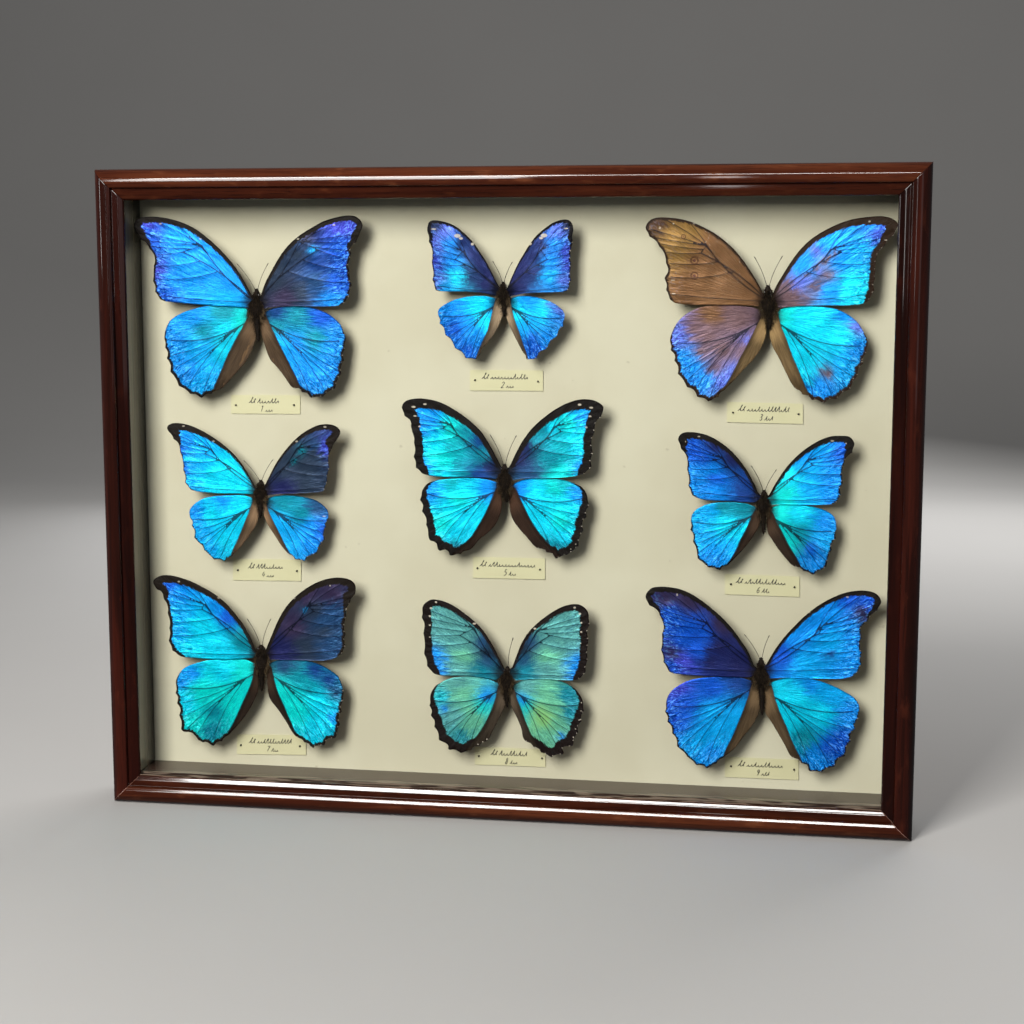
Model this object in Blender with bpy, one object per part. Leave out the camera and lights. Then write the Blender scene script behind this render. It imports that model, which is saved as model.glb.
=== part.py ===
"""Nine butterflies in a glazed wooden display box, built piece by piece. Metres, +Z up."""
import math

import bmesh
import bpy
from mathutils import Vector

for old in list(bpy.data.objects):
    bpy.data.objects.remove(old, do_unlink=True)

MM = 0.001

# Outside size of the box. It stands on the bottom rail and its glass faces -Y.
WIDE = 500.0
TALL = 398.0
DEEP = 54.0

# How far in from the outside edge, and how far back from the front, the parts sit.
LIP = 18.7
WALL = 8.0
CLEAR = 0.4
GLASS_FRONT = 7.0
GLASS_THICK = 2.0
SIDE_LINING = 17.4
FOOT_LINING = 19.6
BOARD_FRONT = 36.0
BOARD_THICK = 10.0
PANEL_THICK = 3.0
WING_DEPTH = 23.0

# The viewing position used to carry points read off the picture onto a depth in the box.
VIEW_FOCAL = 1772.7
VIEW_TURN = math.radians(9.315)
VIEW_RISE = math.radians(7.845)
VIEW_AIM = Vector((9.57, -5.41, 0.0))
VIEW_FAR = 1061.7


def on_depth(px, py, depth):
    """Where the sight line through a picture point meets a plane at this depth, as (x, z) in mm."""
    back = Vector((math.sin(VIEW_TURN) * math.cos(VIEW_RISE), math.sin(VIEW_RISE),
                   math.cos(VIEW_TURN) * math.cos(VIEW_RISE)))
    right = Vector((math.cos(VIEW_TURN), 0.0, -math.sin(VIEW_TURN)))
    up = back.cross(right)
    eye = VIEW_AIM + VIEW_FAR * back
    ray = -back + right * (px - 512.0) / VIEW_FOCAL + up * (512.0 - py) / VIEW_FOCAL
    reach = (eye.z + depth) / -ray.z
    hit = eye + ray * reach
    return hit.x, hit.y + TALL / 2.0


def point(x, z, depth):
    """A point in metres from its place across, its height and its depth behind the front."""
    return Vector((x * MM, (depth - DEEP / 2.0) * MM, z * MM))


def paint(name, colour, rough, metal=0.0, clear=0.0):
    mat = bpy.data.materials.new(name)
    mat.use_nodes = True
    shader = mat.node_tree.nodes["Principled BSDF"]
    shader.inputs["Base Color"].default_value = (*colour, 1.0)
    shader.inputs["Roughness"].default_value = rough
    shader.inputs["Metallic"].default_value = metal
    shader.inputs["Transmission Weight"].default_value = clear
    mat.diffuse_color = (*colour, 1.0)
    return mat


def node(name, verts, faces, mat=None, smooth=False):
    mesh = bpy.data.meshes.new(name)
    mesh.from_pydata([tuple(v) for v in verts], [], faces)
    work = bmesh.new()
    work.from_mesh(mesh)
    bmesh.ops.recalc_face_normals(work, faces=work.faces)
    work.to_mesh(mesh)
    work.free()
    mesh.validate()
    for face in mesh.polygons:
        face.use_smooth = smooth
    obj = bpy.data.objects.new(name, mesh)
    bpy.context.scene.collection.objects.link(obj)
    if mat:
        mesh.materials.append(mat)
    return obj


def combine(obj, tool, how):
    """Join a tool to a solid, or cut it away, and keep the result as plain mesh."""
    mod = obj.modifiers.new("shape", "BOOLEAN")
    mod.operation = how
    mod.solver = "EXACT"
    mod.object = tool
    graph = bpy.context.evaluated_depsgraph_get()
    result = bpy.data.meshes.new_from_object(obj.evaluated_get(graph))
    obj.modifiers.remove(mod)
    before = obj.data
    obj.data = result
    bpy.data.meshes.remove(before)
    bpy.data.objects.remove(tool, do_unlink=True)


def box(name, x0, x1, z0, z1, d0, d1, mat=None):
    verts = [point(x, z, d) for d in (d0, d1) for z in (z0, z1) for x in (x0, x1)]
    faces = [(0, 1, 3, 2), (4, 6, 7, 5), (0, 4, 5, 1), (2, 3, 7, 6), (0, 2, 6, 4), (1, 5, 7, 3)]
    return node(name, verts, faces, mat)


def rod(name, x, z, steps, sides, mat=None, turn=0.0):
    """A turned piece whose axis runs front to back, from (depth, radius) steps."""
    verts = []
    for depth, radius in steps:
        for k in range(sides):
            angle = 2.0 * math.pi * (k + turn) / sides
            verts.append(point(x + radius * math.cos(angle), z + radius * math.sin(angle), depth))
    faces = []
    for s in range(len(steps) - 1):
        for k in range(sides):
            a = s * sides + k
            b = s * sides + (k + 1) % sides
            faces.append((a, b, b + sides, a + sides))
    last = (len(steps) - 1) * sides
    faces.append(tuple(range(sides)))
    faces.append(tuple(last + k for k in range(sides)))
    return node(name, verts, faces, mat)


# Rail section: (in from the outside edge, back from the front).
SECTION = [(0.0, 54.0), (0.0, 9.5), (0.2, 7.4), (0.8, 5.4), (1.8, 3.7), (3.0, 2.3), (4.2, 1.3),
           (5.2, 0.65), (6.2, 0.27), (8.2, 0.0), (9.8, 0.35), (10.7, 1.1), (11.1, 1.8), (11.8, 3.3),
           (14.6, 3.25), (15.3, 3.3), (17.8, 4.6), (18.7, 5.9), (18.7, 6.6), (8.0, 6.6), (8.0, 54.0)]
MITRE_GAP = 0.22


def rail(name, side, mat):
    """One mitred rail. Its section runs along the side, and each end is cut at 45 degrees."""
    verts = []
    half = WIDE / 2.0
    for end in (-1, 1):
        for inset, depth in SECTION:
            if side in ("top", "bottom"):
                x = end * (half - inset - MITRE_GAP)
                z = TALL - inset if side == "top" else inset
            else:
                z = TALL / 2.0 + end * (TALL / 2.0 - inset - MITRE_GAP)
                x = half - inset if side == "right" else inset - half
            verts.append(point(x, z, depth))
    count = len(SECTION)
    faces = [(k, (k + 1) % count, (k + 1) % count + count, k + count) for k in range(count)]
    faces.append(tuple(range(count)))
    faces.append(tuple(range(count, 2 * count)))
    obj = node(name, verts, faces, mat)
    for face in obj.data.polygons:
        flat = abs(face.normal.x) > 0.99 or abs(face.normal.y) > 0.99 or abs(face.normal.z) > 0.99
        face.use_smooth = len(face.vertices) == 4 and not flat
    return obj


wood = paint("mahogany lacquer", (0.115, 0.022, 0.013), 0.22)
for side in ("top", "bottom", "left", "right"):
    rail("rail_" + side, side, wood.copy())

edge = WALL + CLEAR
half = WIDE / 2.0
box("glass_pane", -half + edge, half - edge, edge, TALL - edge, GLASS_FRONT,
    GLASS_FRONT + GLASS_THICK, paint("clear glass", (0.95, 0.97, 0.96), 0.03, clear=1.0))

# Linings of the box between the glass and the board, the foot one the thickest.
lining = paint("dark grey lining", (0.12, 0.105, 0.085), 0.3)
front = GLASS_FRONT + GLASS_THICK + 0.3
back = BOARD_FRONT - 0.3
box("lining_top", -half + edge, half - edge, TALL - SIDE_LINING, TALL - edge, front, back,
    lining.copy())
box("lining_bottom", -half + edge, half - edge, edge, FOOT_LINING, front, back, lining.copy())
box("lining_left", -half + edge, -half + SIDE_LINING, FOOT_LINING + 0.3,
    TALL - SIDE_LINING - 0.3, front, back, lining.copy())
box("lining_right", half - SIDE_LINING, half - edge, FOOT_LINING + 0.3,
    TALL - SIDE_LINING - 0.3, front, back, lining.copy())

# The nine butterflies, drawn over enlarged cuts of the picture. Each drawing has the corner of its
# cut, in picture pixels, and the enlargement. A wing has its leading edge, its rim and its trailing
# edge. L and R are the sides as seen, F and H fore and hind.
INSECTS = {
    1: dict(colour=(0.02, 0.25, 0.85), corner=(80, 150), zoom=4.9,
            LF=([(845, 715), (795, 625), (745, 552), (690, 490), (640, 442), (580, 396), (520, 362),
                 (450, 339), (390, 328), (330, 327), (290, 337), (270, 362)],
                [(276, 395), (296, 425), (330, 460), (357, 495), (372, 550), (363, 603), (370, 665),
                 (384, 712), (412, 738)],
                [(470, 746), (560, 755), (680, 765), (780, 770), (838, 778)]),
            LH=([(845, 790), (780, 768), (690, 760), (610, 766), (545, 782), (490, 803), (445, 833),
                 (424, 870)],
                [(413, 915), (424, 975), (438, 1045), (460, 1110), (505, 1168), (555, 1196),
                 (595, 1208), (640, 1190), (690, 1168)],
                [(745, 1110), (800, 1045), (835, 985), (855, 920), (862, 850)]),
            RF=([(885, 715), (905, 660), (935, 600), (975, 530), (1020, 470), (1075, 420),
                 (1130, 385), (1190, 352), (1250, 332), (1310, 321), (1350, 325), (1378, 345),
                 (1388, 372)],
                [(1376, 405), (1360, 440), (1330, 480), (1327, 530), (1316, 575), (1327, 630),
                 (1328, 680), (1308, 735), (1285, 757)],
                [(1240, 765), (1150, 767), (1050, 765), (960, 768), (900, 778)]),
            RH=([(895, 795), (960, 772), (1040, 765), (1120, 770), (1190, 790), (1240, 820),
                 (1275, 855), (1290, 890)],
                [(1302, 920), (1295, 965), (1290, 1015), (1283, 1060), (1270, 1110), (1255, 1150),
                 (1225, 1182), (1195, 1200), (1155, 1213), (1115, 1200), (1075, 1172), (1035, 1162)],
                [(1000, 1115), (960, 1065), (925, 1025), (900, 960), (883, 900), (880, 840)]),
            body=((864, 703), (862, 765), (865, 830), (872, 940)), horns=((770, 555), (925, 553))),
    2: dict(colour=(0.05, 0.3, 0.8), corner=(380, 190), zoom=6.03,
            LF=([(718, 580), (690, 530), (650, 450), (610, 385), (570, 325), (530, 280), (480, 235),
                 (430, 205), (370, 187), (320, 183), (296, 198)],
                [(288, 240), (300, 300), (314, 360), (320, 430), (322, 500), (326, 560), (335, 592),
                 (352, 608)],
                [(420, 612), (520, 613), (620, 622), (705, 640)]),
            LH=([(710, 655), (640, 640), (560, 640), (500, 648), (440, 665), (390, 690), (358, 715)],
                [(349, 745), (362, 790), (385, 845), (420, 900), (460, 950), (500, 990), (535, 1017),
                 (565, 1017), (598, 1000), (612, 960)],
                [(640, 930), (670, 890), (700, 845), (722, 795), (738, 745), (740, 690)]),
            RF=([(768, 590), (795, 525), (830, 450), (865, 390), (905, 325), (945, 275), (990, 235),
                 (1040, 200), (1090, 181), (1135, 180), (1160, 203)],
                [(1167, 240), (1160, 300), (1157, 350), (1148, 420), (1150, 490), (1146, 560),
                 (1140, 595), (1120, 612)],
                [(1050, 615), (960, 618), (870, 625), (785, 642)]),
            RH=([(775, 655), (830, 640), (900, 640), (960, 650), (1020, 670), (1065, 695), (1100, 725)],
                [(1113, 760), (1105, 805), (1080, 850), (1040, 905), (1000, 950), (960, 985),
                 (925, 1020), (895, 1020), (868, 992), (850, 960)],
                [(820, 905), (790, 845), (770, 800), (757, 760), (756, 700)]),
            body=((742, 572), (740, 620), (745, 680), (748, 765)), horns=((680, 428), (800, 432))),
    3: dict(colour=(0.1, 0.35, 0.6), corner=(620, 190), zoom=4.75,
            LF=([(685, 500), (665, 460), (630, 400), (590, 340), (545, 285), (500, 243), (450, 205),
                 (400, 178), (350, 155), (290, 138), (230, 131), (180, 131), (145, 143)],
                [(124, 172), (130, 198), (155, 230), (185, 258), (208, 300), (222, 340), (228, 380),
                 (217, 415), (222, 460), (232, 505), (248, 527)],
                [(275, 539), (340, 545), (430, 546), (560, 547), (680, 555)]),
            LH=([(685, 575), (620, 557), (540, 547), (450, 547), (380, 558), (320, 585), (280, 620),
                 (255, 660)],
                [(238, 710), (247, 760), (262, 800), (275, 850), (298, 905), (345, 950), (380, 985),
                 (410, 995), (440, 998), (475, 968), (505, 940)],
                [(545, 900), (590, 850), (630, 810), (665, 760), (690, 700), (697, 640)]),
            RF=([(722, 500), (745, 450), (775, 400), (810, 345), (850, 290), (900, 240), (950, 205),
                 (1000, 178), (1060, 152), (1120, 136), (1190, 127), (1250, 125), (1295, 138)],
                [(1320, 162), (1308, 195), (1280, 232), (1248, 268), (1225, 305), (1210, 345),
                 (1216, 385), (1206, 425), (1206, 465), (1195, 500), (1172, 530)],
                [(1130, 543), (1050, 548), (960, 548), (860, 550), (740, 560)]),
            RH=([(735, 580), (790, 557), (870, 549), (950, 553), (1020, 563), (1080, 590), (1125, 625),
                 (1155, 670)],
                [(1177, 720), (1168, 768), (1150, 820), (1128, 870), (1105, 922), (1070, 957),
                 (1020, 990), (960, 1006), (930, 998), (890, 980), (855, 957), (822, 932)],
                [(790, 872), (755, 800), (725, 745), (710, 690), (712, 630)]),
            body=((703, 475), (705, 535), (708, 600), (708, 665)), horns=((637, 315), (773, 312))),
    4: dict(colour=(0.02, 0.4, 0.8), corner=(80, 400), zoom=4.9,
            LF=([(860, 425), (825, 365), (785, 300), (740, 250), (700, 215), (650, 180), (600, 150),
                 (550, 127), (500, 114), (460, 113), (435, 125)],
                [(433, 145), (460, 180), (485, 215), (500, 260), (507, 310), (515, 350), (520, 390),
                 (530, 420), (560, 443)],
                [(620, 452), (700, 458), (780, 458), (850, 462)]),
            LH=([(855, 485), (800, 468), (720, 468), (650, 473), (600, 485), (560, 510), (537, 540)],
                [(537, 570), (550, 600), (560, 650), (575, 695), (605, 720), (635, 765), (670, 780),
                 (700, 787), (725, 775), (750, 758)],
                [(790, 715), (830, 660), (860, 610), (872, 560), (872, 520)]),
            RF=([(900, 430), (925, 380), (950, 330), (985, 275), (1025, 225), (1070, 180), (1120, 145),
                 (1170, 123), (1220, 118), (1260, 130), (1278, 158)],
                [(1260, 195), (1235, 235), (1222, 280), (1220, 330), (1215, 380), (1205, 420),
                 (1190, 447)],
                [(1120, 455), (1050, 458), (980, 460), (905, 468)]),
            RH=([(900, 490), (950, 472), (1020, 468), (1090, 475), (1150, 490), (1195, 520), (1215, 548)],
                [(1215, 580), (1200, 620), (1195, 670), (1175, 720), (1145, 755), (1120, 770),
                 (1080, 788), (1045, 770), (1010, 745)],
                [(980, 710), (950, 665), (920, 620), (898, 570), (893, 525)]),
            body=((885, 408), (883, 450), (882, 500), (883, 580)), horns=((803, 293), (948, 290))),
    5: dict(colour=(0.02, 0.5, 0.7), corner=(380, 380), zoom=6.03,
            LF=([(720, 500), (690, 440), (650, 370), (610, 310), (560, 260), (510, 220), (460, 185),
                 (400, 150), (340, 125), (270, 112), (210, 112), (160, 125)],
                [(136, 155), (142, 190), (165, 225), (192, 260), (195, 310), (212, 360), (212, 410),
                 (212, 470), (222, 520), (245, 550), (275, 568)],
                [(340, 580), (430, 585), (530, 587), (630, 590), (710, 600)]),
            LH=([(710, 620), (640, 600), (560, 592), (470, 592), (400, 597), (340, 605), (290, 622)],
                [(258, 660), (246, 710), (255, 760), (265, 810), (285, 870), (290, 940), (335, 985),
                 (350, 1018), (400, 1030), (440, 1060), (480, 1045), (550, 1018)],
                [(590, 970), (640, 930), (685, 885), (715, 830), (730, 770), (730, 690)]),
            RF=([(790, 505), (825, 430), (865, 360), (910, 300), (960, 250), (1010, 210), (1060, 175),
                 (1120, 143), (1180, 122), (1240, 115), (1300, 125)],
                [(1345, 155), (1345, 195), (1320, 230), (1300, 270), (1290, 310), (1280, 360),
                 (1280, 420), (1275, 480), (1270, 525), (1248, 550), (1215, 570)],
                [(1140, 583), (1050, 590), (950, 592), (860, 595), (800, 605)]),
            RH=([(805, 625), (870, 600), (950, 593), (1040, 595), (1120, 605), (1180, 628), (1220, 650)],
                [(1245, 690), (1255, 740), (1245, 800), (1225, 860), (1215, 920), (1200, 975),
                 (1165, 1035), (1120, 1050), (1075, 1075), (1030, 1050), (985, 1025), (935, 1010)],
                [(890, 960), (840, 905), (800, 850), (780, 790), (775, 700)]),
            body=((750, 530), (752, 590), (755, 680), (765, 740)), horns=((663, 325), (825, 332))),
    6: dict(colour=(0.02, 0.25, 0.8), corner=(620, 410), zoom=4.75,
            LF=([(655, 390), (635, 345), (605, 290), (570, 240), (530, 195), (485, 158), (440, 130),
                 (395, 113), (340, 104), (300, 108)],
                [(278, 130), (283, 160), (305, 200), (320, 240), (325, 290), (328, 340), (335, 385),
                 (355, 410)],
                [(400, 425), (470, 430), (550, 435), (640, 440)]),
            LH=([(645, 462), (590, 443), (510, 438), (440, 443), (385, 460), (350, 485)],
                [(337, 520), (342, 580), (352, 620), (365, 680), (395, 730), (430, 745), (460, 757),
                 (495, 745), (520, 730)],
                [(560, 690), (605, 640), (640, 590), (662, 545), (668, 500)]),
            RF=([(710, 400), (735, 355), (770, 300), (805, 255), (850, 210), (895, 175), (945, 145),
                 (1000, 125), (1050, 122), (1090, 127)],
                [(1112, 155), (1105, 190), (1075, 230), (1057, 265), (1057, 320), (1048, 370),
                 (1040, 420), (1015, 443)],
                [(950, 450), (870, 450), (790, 448), (715, 450)]),
            RH=([(715, 465), (770, 448), (850, 450), (920, 460), (980, 480), (1018, 510)],
                [(1028, 560), (1020, 610), (1000, 660), (992, 705), (965, 755), (930, 772),
                 (900, 778), (865, 755), (820, 740)],
                [(790, 710), (750, 660), (720, 615), (700, 580), (697, 520)]),
            body=((684, 397), (683, 440), (682, 500), (682, 590)), horns=((622, 262), (745, 281))),
    7: dict(colour=(0.02, 0.45, 0.75), corner=(80, 560), zoom=4.9,
            LF=([(862, 440), (835, 375), (800, 315), (760, 260), (715, 210), (660, 165), (600, 130),
                 (540, 100), (480, 80), (430, 72), (390, 78)],
                [(364, 100), (372, 130), (402, 155), (430, 220), (438, 260), (445, 330), (442, 380),
                 (450, 420), (470, 450), (505, 472)],
                [(570, 478), (650, 485), (740, 487), (845, 480)]),
            LH=([(855, 510), (800, 488), (720, 486), (640, 490), (560, 508), (510, 530), (485, 560)],
                [(470, 600), (478, 680), (490, 740), (505, 835), (560, 850), (575, 882), (610, 890),
                 (650, 906), (690, 885), (735, 850)],
                [(780, 800), (820, 745), (850, 690), (868, 640), (872, 570)]),
            RF=([(910, 440), (935, 380), (965, 310), (1000, 245), (1045, 190), (1100, 145),
                 (1160, 110), (1220, 90), (1280, 85), (1330, 97), (1352, 125)],
                [(1350, 165), (1325, 200), (1308, 250), (1300, 310), (1300, 370), (1297, 430),
                 (1275, 465)],
                [(1220, 488), (1150, 492), (1050, 490), (980, 488), (915, 488)]),
            RH=([(920, 510), (980, 490), (1060, 490), (1130, 498), (1190, 520), (1240, 550), (1270, 580)],
                [(1290, 640), (1285, 700), (1270, 770), (1260, 855), (1215, 880), (1190, 905),
                 (1135, 915), (1100, 890), (1050, 860)],
                [(1010, 800), (970, 740), (930, 690), (915, 640), (912, 570)]),
            body=((888, 430), (890, 470), (890, 560), (888, 645)), horns=((820, 285), (938, 285))),
    8: dict(colour=(0.12, 0.4, 0.38), corner=(380, 570), zoom=6.03,
            LF=([(745, 580), (700, 490), (660, 420), (615, 355), (565, 305), (510, 260), (455, 220),
                 (400, 192), (345, 177), (300, 180)],
                [(262, 215), (258, 270), (268, 330), (270, 400), (270, 450), (275, 510), (290, 570),
                 (310, 605), (345, 628)],
                [(420, 637), (500, 637), (590, 645), (700, 665)]),
            LH=([(700, 680), (640, 655), (560, 642), (480, 645), (420, 655), (365, 680), (330, 705)],
                [(303, 760), (308, 850), (330, 930), (362, 1020), (410, 1060), (425, 1080),
                 (510, 1100), (550, 1080), (600, 1055), (650, 1025)],
                [(680, 970), (710, 910), (740, 850), (760, 800), (765, 730)]),
            RF=([(800, 580), (830, 500), (860, 430), (900, 370), (950, 320), (1000, 280), (1060, 240),
                 (1120, 213), (1180, 204), (1225, 217)],
                [(1256, 255), (1262, 320), (1252, 380), (1255, 450), (1250, 530), (1240, 600),
                 (1220, 640), (1185, 660)],
                [(1110, 662), (1020, 657), (930, 655), (820, 665)]),
            RH=([(810, 690), (870, 662), (950, 655), (1030, 660), (1100, 675), (1160, 705), (1195, 740)],
                [(1222, 790), (1225, 850), (1205, 920), (1190, 970), (1160, 1050), (1105, 1075),
                 (1095, 1110), (1020, 1123), (975, 1100), (920, 1060), (865, 1025)],
                [(850, 960), (820, 890), (795, 840), (780, 790), (778, 730)]),
            body=((767, 600), (762, 650), (762, 740), (765, 830)), horns=(None, (805, 405))),
    9: dict(colour=(0.03, 0.2, 0.8), corner=(620, 570), zoom=4.75,
            LF=([(635, 450), (610, 390), (575, 335), (535, 280), (490, 230), (440, 185), (390, 145),
                 (335, 110), (280, 88), (220, 78), (180, 78), (150, 85)],
                [(124, 115), (132, 150), (165, 180), (190, 205), (202, 245), (208, 280), (200, 330),
                 (200, 380), (210, 430), (225, 465), (245, 485)],
                [(300, 495), (400, 502), (500, 507), (620, 510)]),
            LH=([(630, 530), (570, 512), (490, 507), (400, 512), (330, 525), (280, 548), (240, 580)],
                [(220, 625), (222, 690), (250, 765), (285, 850), (320, 880), (350, 915), (420, 937),
                 (455, 915), (500, 885)],
                [(545, 850), (590, 790), (630, 740), (660, 680), (668, 620), (668, 560)]),
            RF=([(700, 440), (735, 380), (775, 325), (820, 275), (870, 225), (925, 180), (980, 145),
                 (1040, 117), (1100, 100), (1160, 96), (1215, 110)],
                [(1240, 145), (1225, 180), (1180, 230), (1148, 270), (1143, 310), (1142, 360),
                 (1145, 410), (1140, 460), (1115, 495)],
                [(1060, 513), (980, 515), (880, 513), (790, 510), (715, 515)]),
            RH=([(715, 535), (780, 515), (860, 512), (940, 525), (1010, 550), (1070, 580), (1115, 610)],
                [(1137, 650), (1130, 700), (1100, 780), (1070, 870), (1045, 895), (1000, 940),
                 (920, 960), (885, 930), (850, 905), (810, 885)],
                [(780, 830), (745, 770), (715, 720), (690, 680), (688, 610)]),
            body=((670, 440), (670, 500), (672, 560), (675, 690)), horns=((590, 303), (710, 308))),
}

# Labels: top left and bottom right corner, the drop along the top edge, and the two pins.
LABELS = {
    1: ((231, 395), (300, 414), 0.5, (236, 405), (294, 405)),
    2: ((470, 370), (543, 391), 0.5, (475, 380), (538, 381.5)),
    3: ((727, 402), (803, 424), 1.8, (733, 412.5), (798.5, 414)),
    4: ((233, 559), (301, 581), 0.8, (238, 570), (297, 571)),
    5: ((473, 557), (545, 579.5), 1.6, (477.5, 568), (540, 569.5)),
    6: ((725, 574), (799.5, 597), 2.8, (731, 584), (794.5, 587)),
    7: ((237, 734.5), (306, 755), 1.0, (241, 745), (300, 746)),
    8: ((475, 747), (545.5, 767), 2.5, (479, 756), (542, 758)),
    9: ((725, 757), (798.5, 780), 3.0, (731, 766), (794, 769.5)),
}


def spot(insect, place, depth=WING_DEPTH):
    """A point of the drawing of one butterfly, carried onto the depth of its wings."""
    x0, y0 = insect["corner"]
    return on_depth(x0 + place[0] / insect["zoom"], y0 + place[1] / insect["zoom"], depth)


def wing(insect, outline, middle, front_depth, thick):
    """One wing as a thin slab that rises a little towards its tip."""
    flat = [spot(insect, place) for part in outline for place in part]
    root = (flat[0][1] + flat[-1][1]) / 2.0
    flat.append((middle + math.copysign(0.6, flat[0][0] - middle), root))
    verts = []
    for lift in (0.0, thick):
        for x, z in flat:
            verts.append(point(x, z, front_depth - 0.02 * abs(x - middle) + lift))
    count = len(flat)
    faces = [(k, (k + 1) % count, (k + 1) % count + count, k + count) for k in range(count)]
    faces.append(tuple(range(count)))
    faces.append(tuple(range(count, 2 * count)))
    return node("wing", verts, faces)


def body(insect, size):
    """Head, thorax and abdomen as one lofted form of eight sides."""
    spine = [spot(insect, place) for place in insect["body"]]
    rings = [(0.0, -0.9, 0.5), (0.0, 0.0, 1.5), (0.0, 1.2, 1.4), (0.0, 2.6, 2.6),
             (1.0, 0.0, 3.7), (1.6, 0.0, 3.2), (2.0, 0.0, 1.8), (2.4, 0.0, 1.7),
             (2.8, 0.0, 1.3), (3.0, 0.0, 0.6)]
    verts = []
    for along, extra, radius in rings:
        k = min(int(along), 2)
        a = Vector(spine[k])
        b = Vector(spine[k + 1])
        centre = a.lerp(b, along - k)
        z = centre.y - extra * size
        for side in range(8):
            angle = 2.0 * math.pi * (side + 0.5) / 8.0
            verts.append(point(centre.x + radius * size * math.cos(angle), z,
                               WING_DEPTH + 1.0 + radius * size * math.sin(angle)))
    faces = []
    for s in range(len(rings) - 1):
        for k in range(8):
            a = s * 8 + k
            b = s * 8 + (k + 1) % 8
            faces.append((a, b, b + 8, a + 8))
    faces.append(tuple(range(8)))
    faces.append(tuple(range(len(rings) * 8 - 8, len(rings) * 8)))
    return node("body", verts, faces)


def feeler(insect, tip, size):
    """An antenna, a thin four-sided stalk with a club at its tip."""
    head = Vector(spot(insect, insect["body"][0]))
    end = Vector(spot(insect, tip))
    across = (end - head).normalized().orthogonal()
    root = head - Vector((0.0, 1.0)) * size + Vector((math.copysign(0.5, end.x - head.x), 0.0))
    verts = []
    steps = [(0.0, 0.22), (0.5, 0.2), (0.86, 0.2), (0.93, 0.36), (1.0, 0.2)]
    for share, radius in steps:
        bow = math.sin(math.pi * share) * 0.04 * (end - head).length
        centre = root.lerp(end, share) + Vector((math.copysign(bow, head.x - end.x), 0.0))
        depth = WING_DEPTH + 0.6 - 1.2 * share
        for dx, dd in ((-1, 0), (0, -1), (1, 0), (0, 1)):
            x = centre.x + dx * radius * across.x
            z = centre.y + dx * radius * across.y
            verts.append(point(x, z, depth + dd * radius))
    faces = []
    for s in range(len(steps) - 1):
        for k in range(4):
            a = s * 4 + k
            b = s * 4 + (k + 1) % 4
            faces.append((a, b, b + 4, a + 4))
    faces.append((0, 1, 2, 3))
    faces.append(tuple(range(len(verts) - 4, len(verts))))
    return node("feeler", verts, faces)


holes = []
steel = paint("dark steel pin", (0.06, 0.055, 0.05), 0.35, metal=0.9)
card = paint("cream card", (0.72, 0.69, 0.47), 0.75)
for number, insect in INSECTS.items():
    left = spot(insect, insect["LF"][0][-1])
    right = spot(insect, insect["RF"][0][-1])
    size = 0.45 + 0.55 * (right[0] - left[0]) / 140.0
    hub = spot(insect, insect["body"][1])
    scales = paint("blue wing scales", insect["colour"], 0.35, metal=0.3)
    whole = body(insect, size)
    whole.name = "butterfly_%d" % number
    whole.data.materials.append(scales)
    combine(whole, wing(insect, insect["LH"], hub[0], WING_DEPTH + 0.25, 0.5), "UNION")
    combine(whole, wing(insect, insect["RH"], hub[0], WING_DEPTH + 0.25, 0.5), "UNION")
    combine(whole, wing(insect, insect["LF"], hub[0], WING_DEPTH - 0.1, 0.5), "UNION")
    combine(whole, wing(insect, insect["RF"], hub[0], WING_DEPTH - 0.1, 0.5), "UNION")
    for tip in insect["horns"]:
        if tip:
            combine(whole, feeler(insect, tip, size), "UNION")
    # The short pin comes up from the board into the underside of the thorax.
    top = WING_DEPTH + 0.2
    combine(whole, rod("cut", hub[0], hub[1], [(top - 0.4, 0.65), (BOARD_FRONT, 0.65)], 6), "DIFFERENCE")
    rod("specimen_pin_%d" % number, hub[0], hub[1],
        [(top, 0.3), (BOARD_FRONT + 5.0, 0.3), (BOARD_FRONT + 6.0, 0.08)], 6, steel.copy())
    holes.append((hub[0], hub[1], 0.65, BOARD_FRONT + 6.5))

    corner, far_corner, drop, pin_a, pin_b = LABELS[number]
    depth = BOARD_FRONT - 0.75
    corners = [on_depth(px, py, depth) for px, py in (
        corner, (far_corner[0], corner[1] + drop), far_corner, (corner[0], far_corner[1] - drop))]
    verts = [point(x, z, d) for d in (depth, depth + 0.4) for x, z in corners]
    faces = [(0, 1, 2, 3), (4, 5, 6, 7), (0, 1, 5, 4), (1, 2, 6, 5), (2, 3, 7, 6), (3, 0, 4, 7)]
    label = node("label_%d" % number, verts, faces, card.copy())
    for letter, place in (("a", pin_a), ("b", pin_b)):
        x, z = on_depth(place[0], place[1], depth)
        combine(label, rod("cut", x, z, [(depth - 1.0, 0.6), (depth + 1.0, 0.6)], 8), "DIFFERENCE")
        rod("label_pin_%d%s" % (number, letter), x, z,
            [(depth - 0.85, 0.4), (depth - 0.65, 0.75), (depth - 0.3, 0.25),
             (BOARD_FRONT + 3.5, 0.25), (BOARD_FRONT + 4.2, 0.08)], 6, steel.copy())
        holes.append((x, z, 0.6, BOARD_FRONT + 4.7))

board = box("backing_board", -half + edge, half - edge, edge, TALL - edge, BOARD_FRONT,
            BOARD_FRONT + BOARD_THICK, paint("cream board", (0.60, 0.57, 0.43), 0.8))
for x, z, radius, end in holes:
    combine(board, rod("cut", x, z, [(BOARD_FRONT - 1.0, radius), (end, radius)], 6), "DIFFERENCE")

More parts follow.
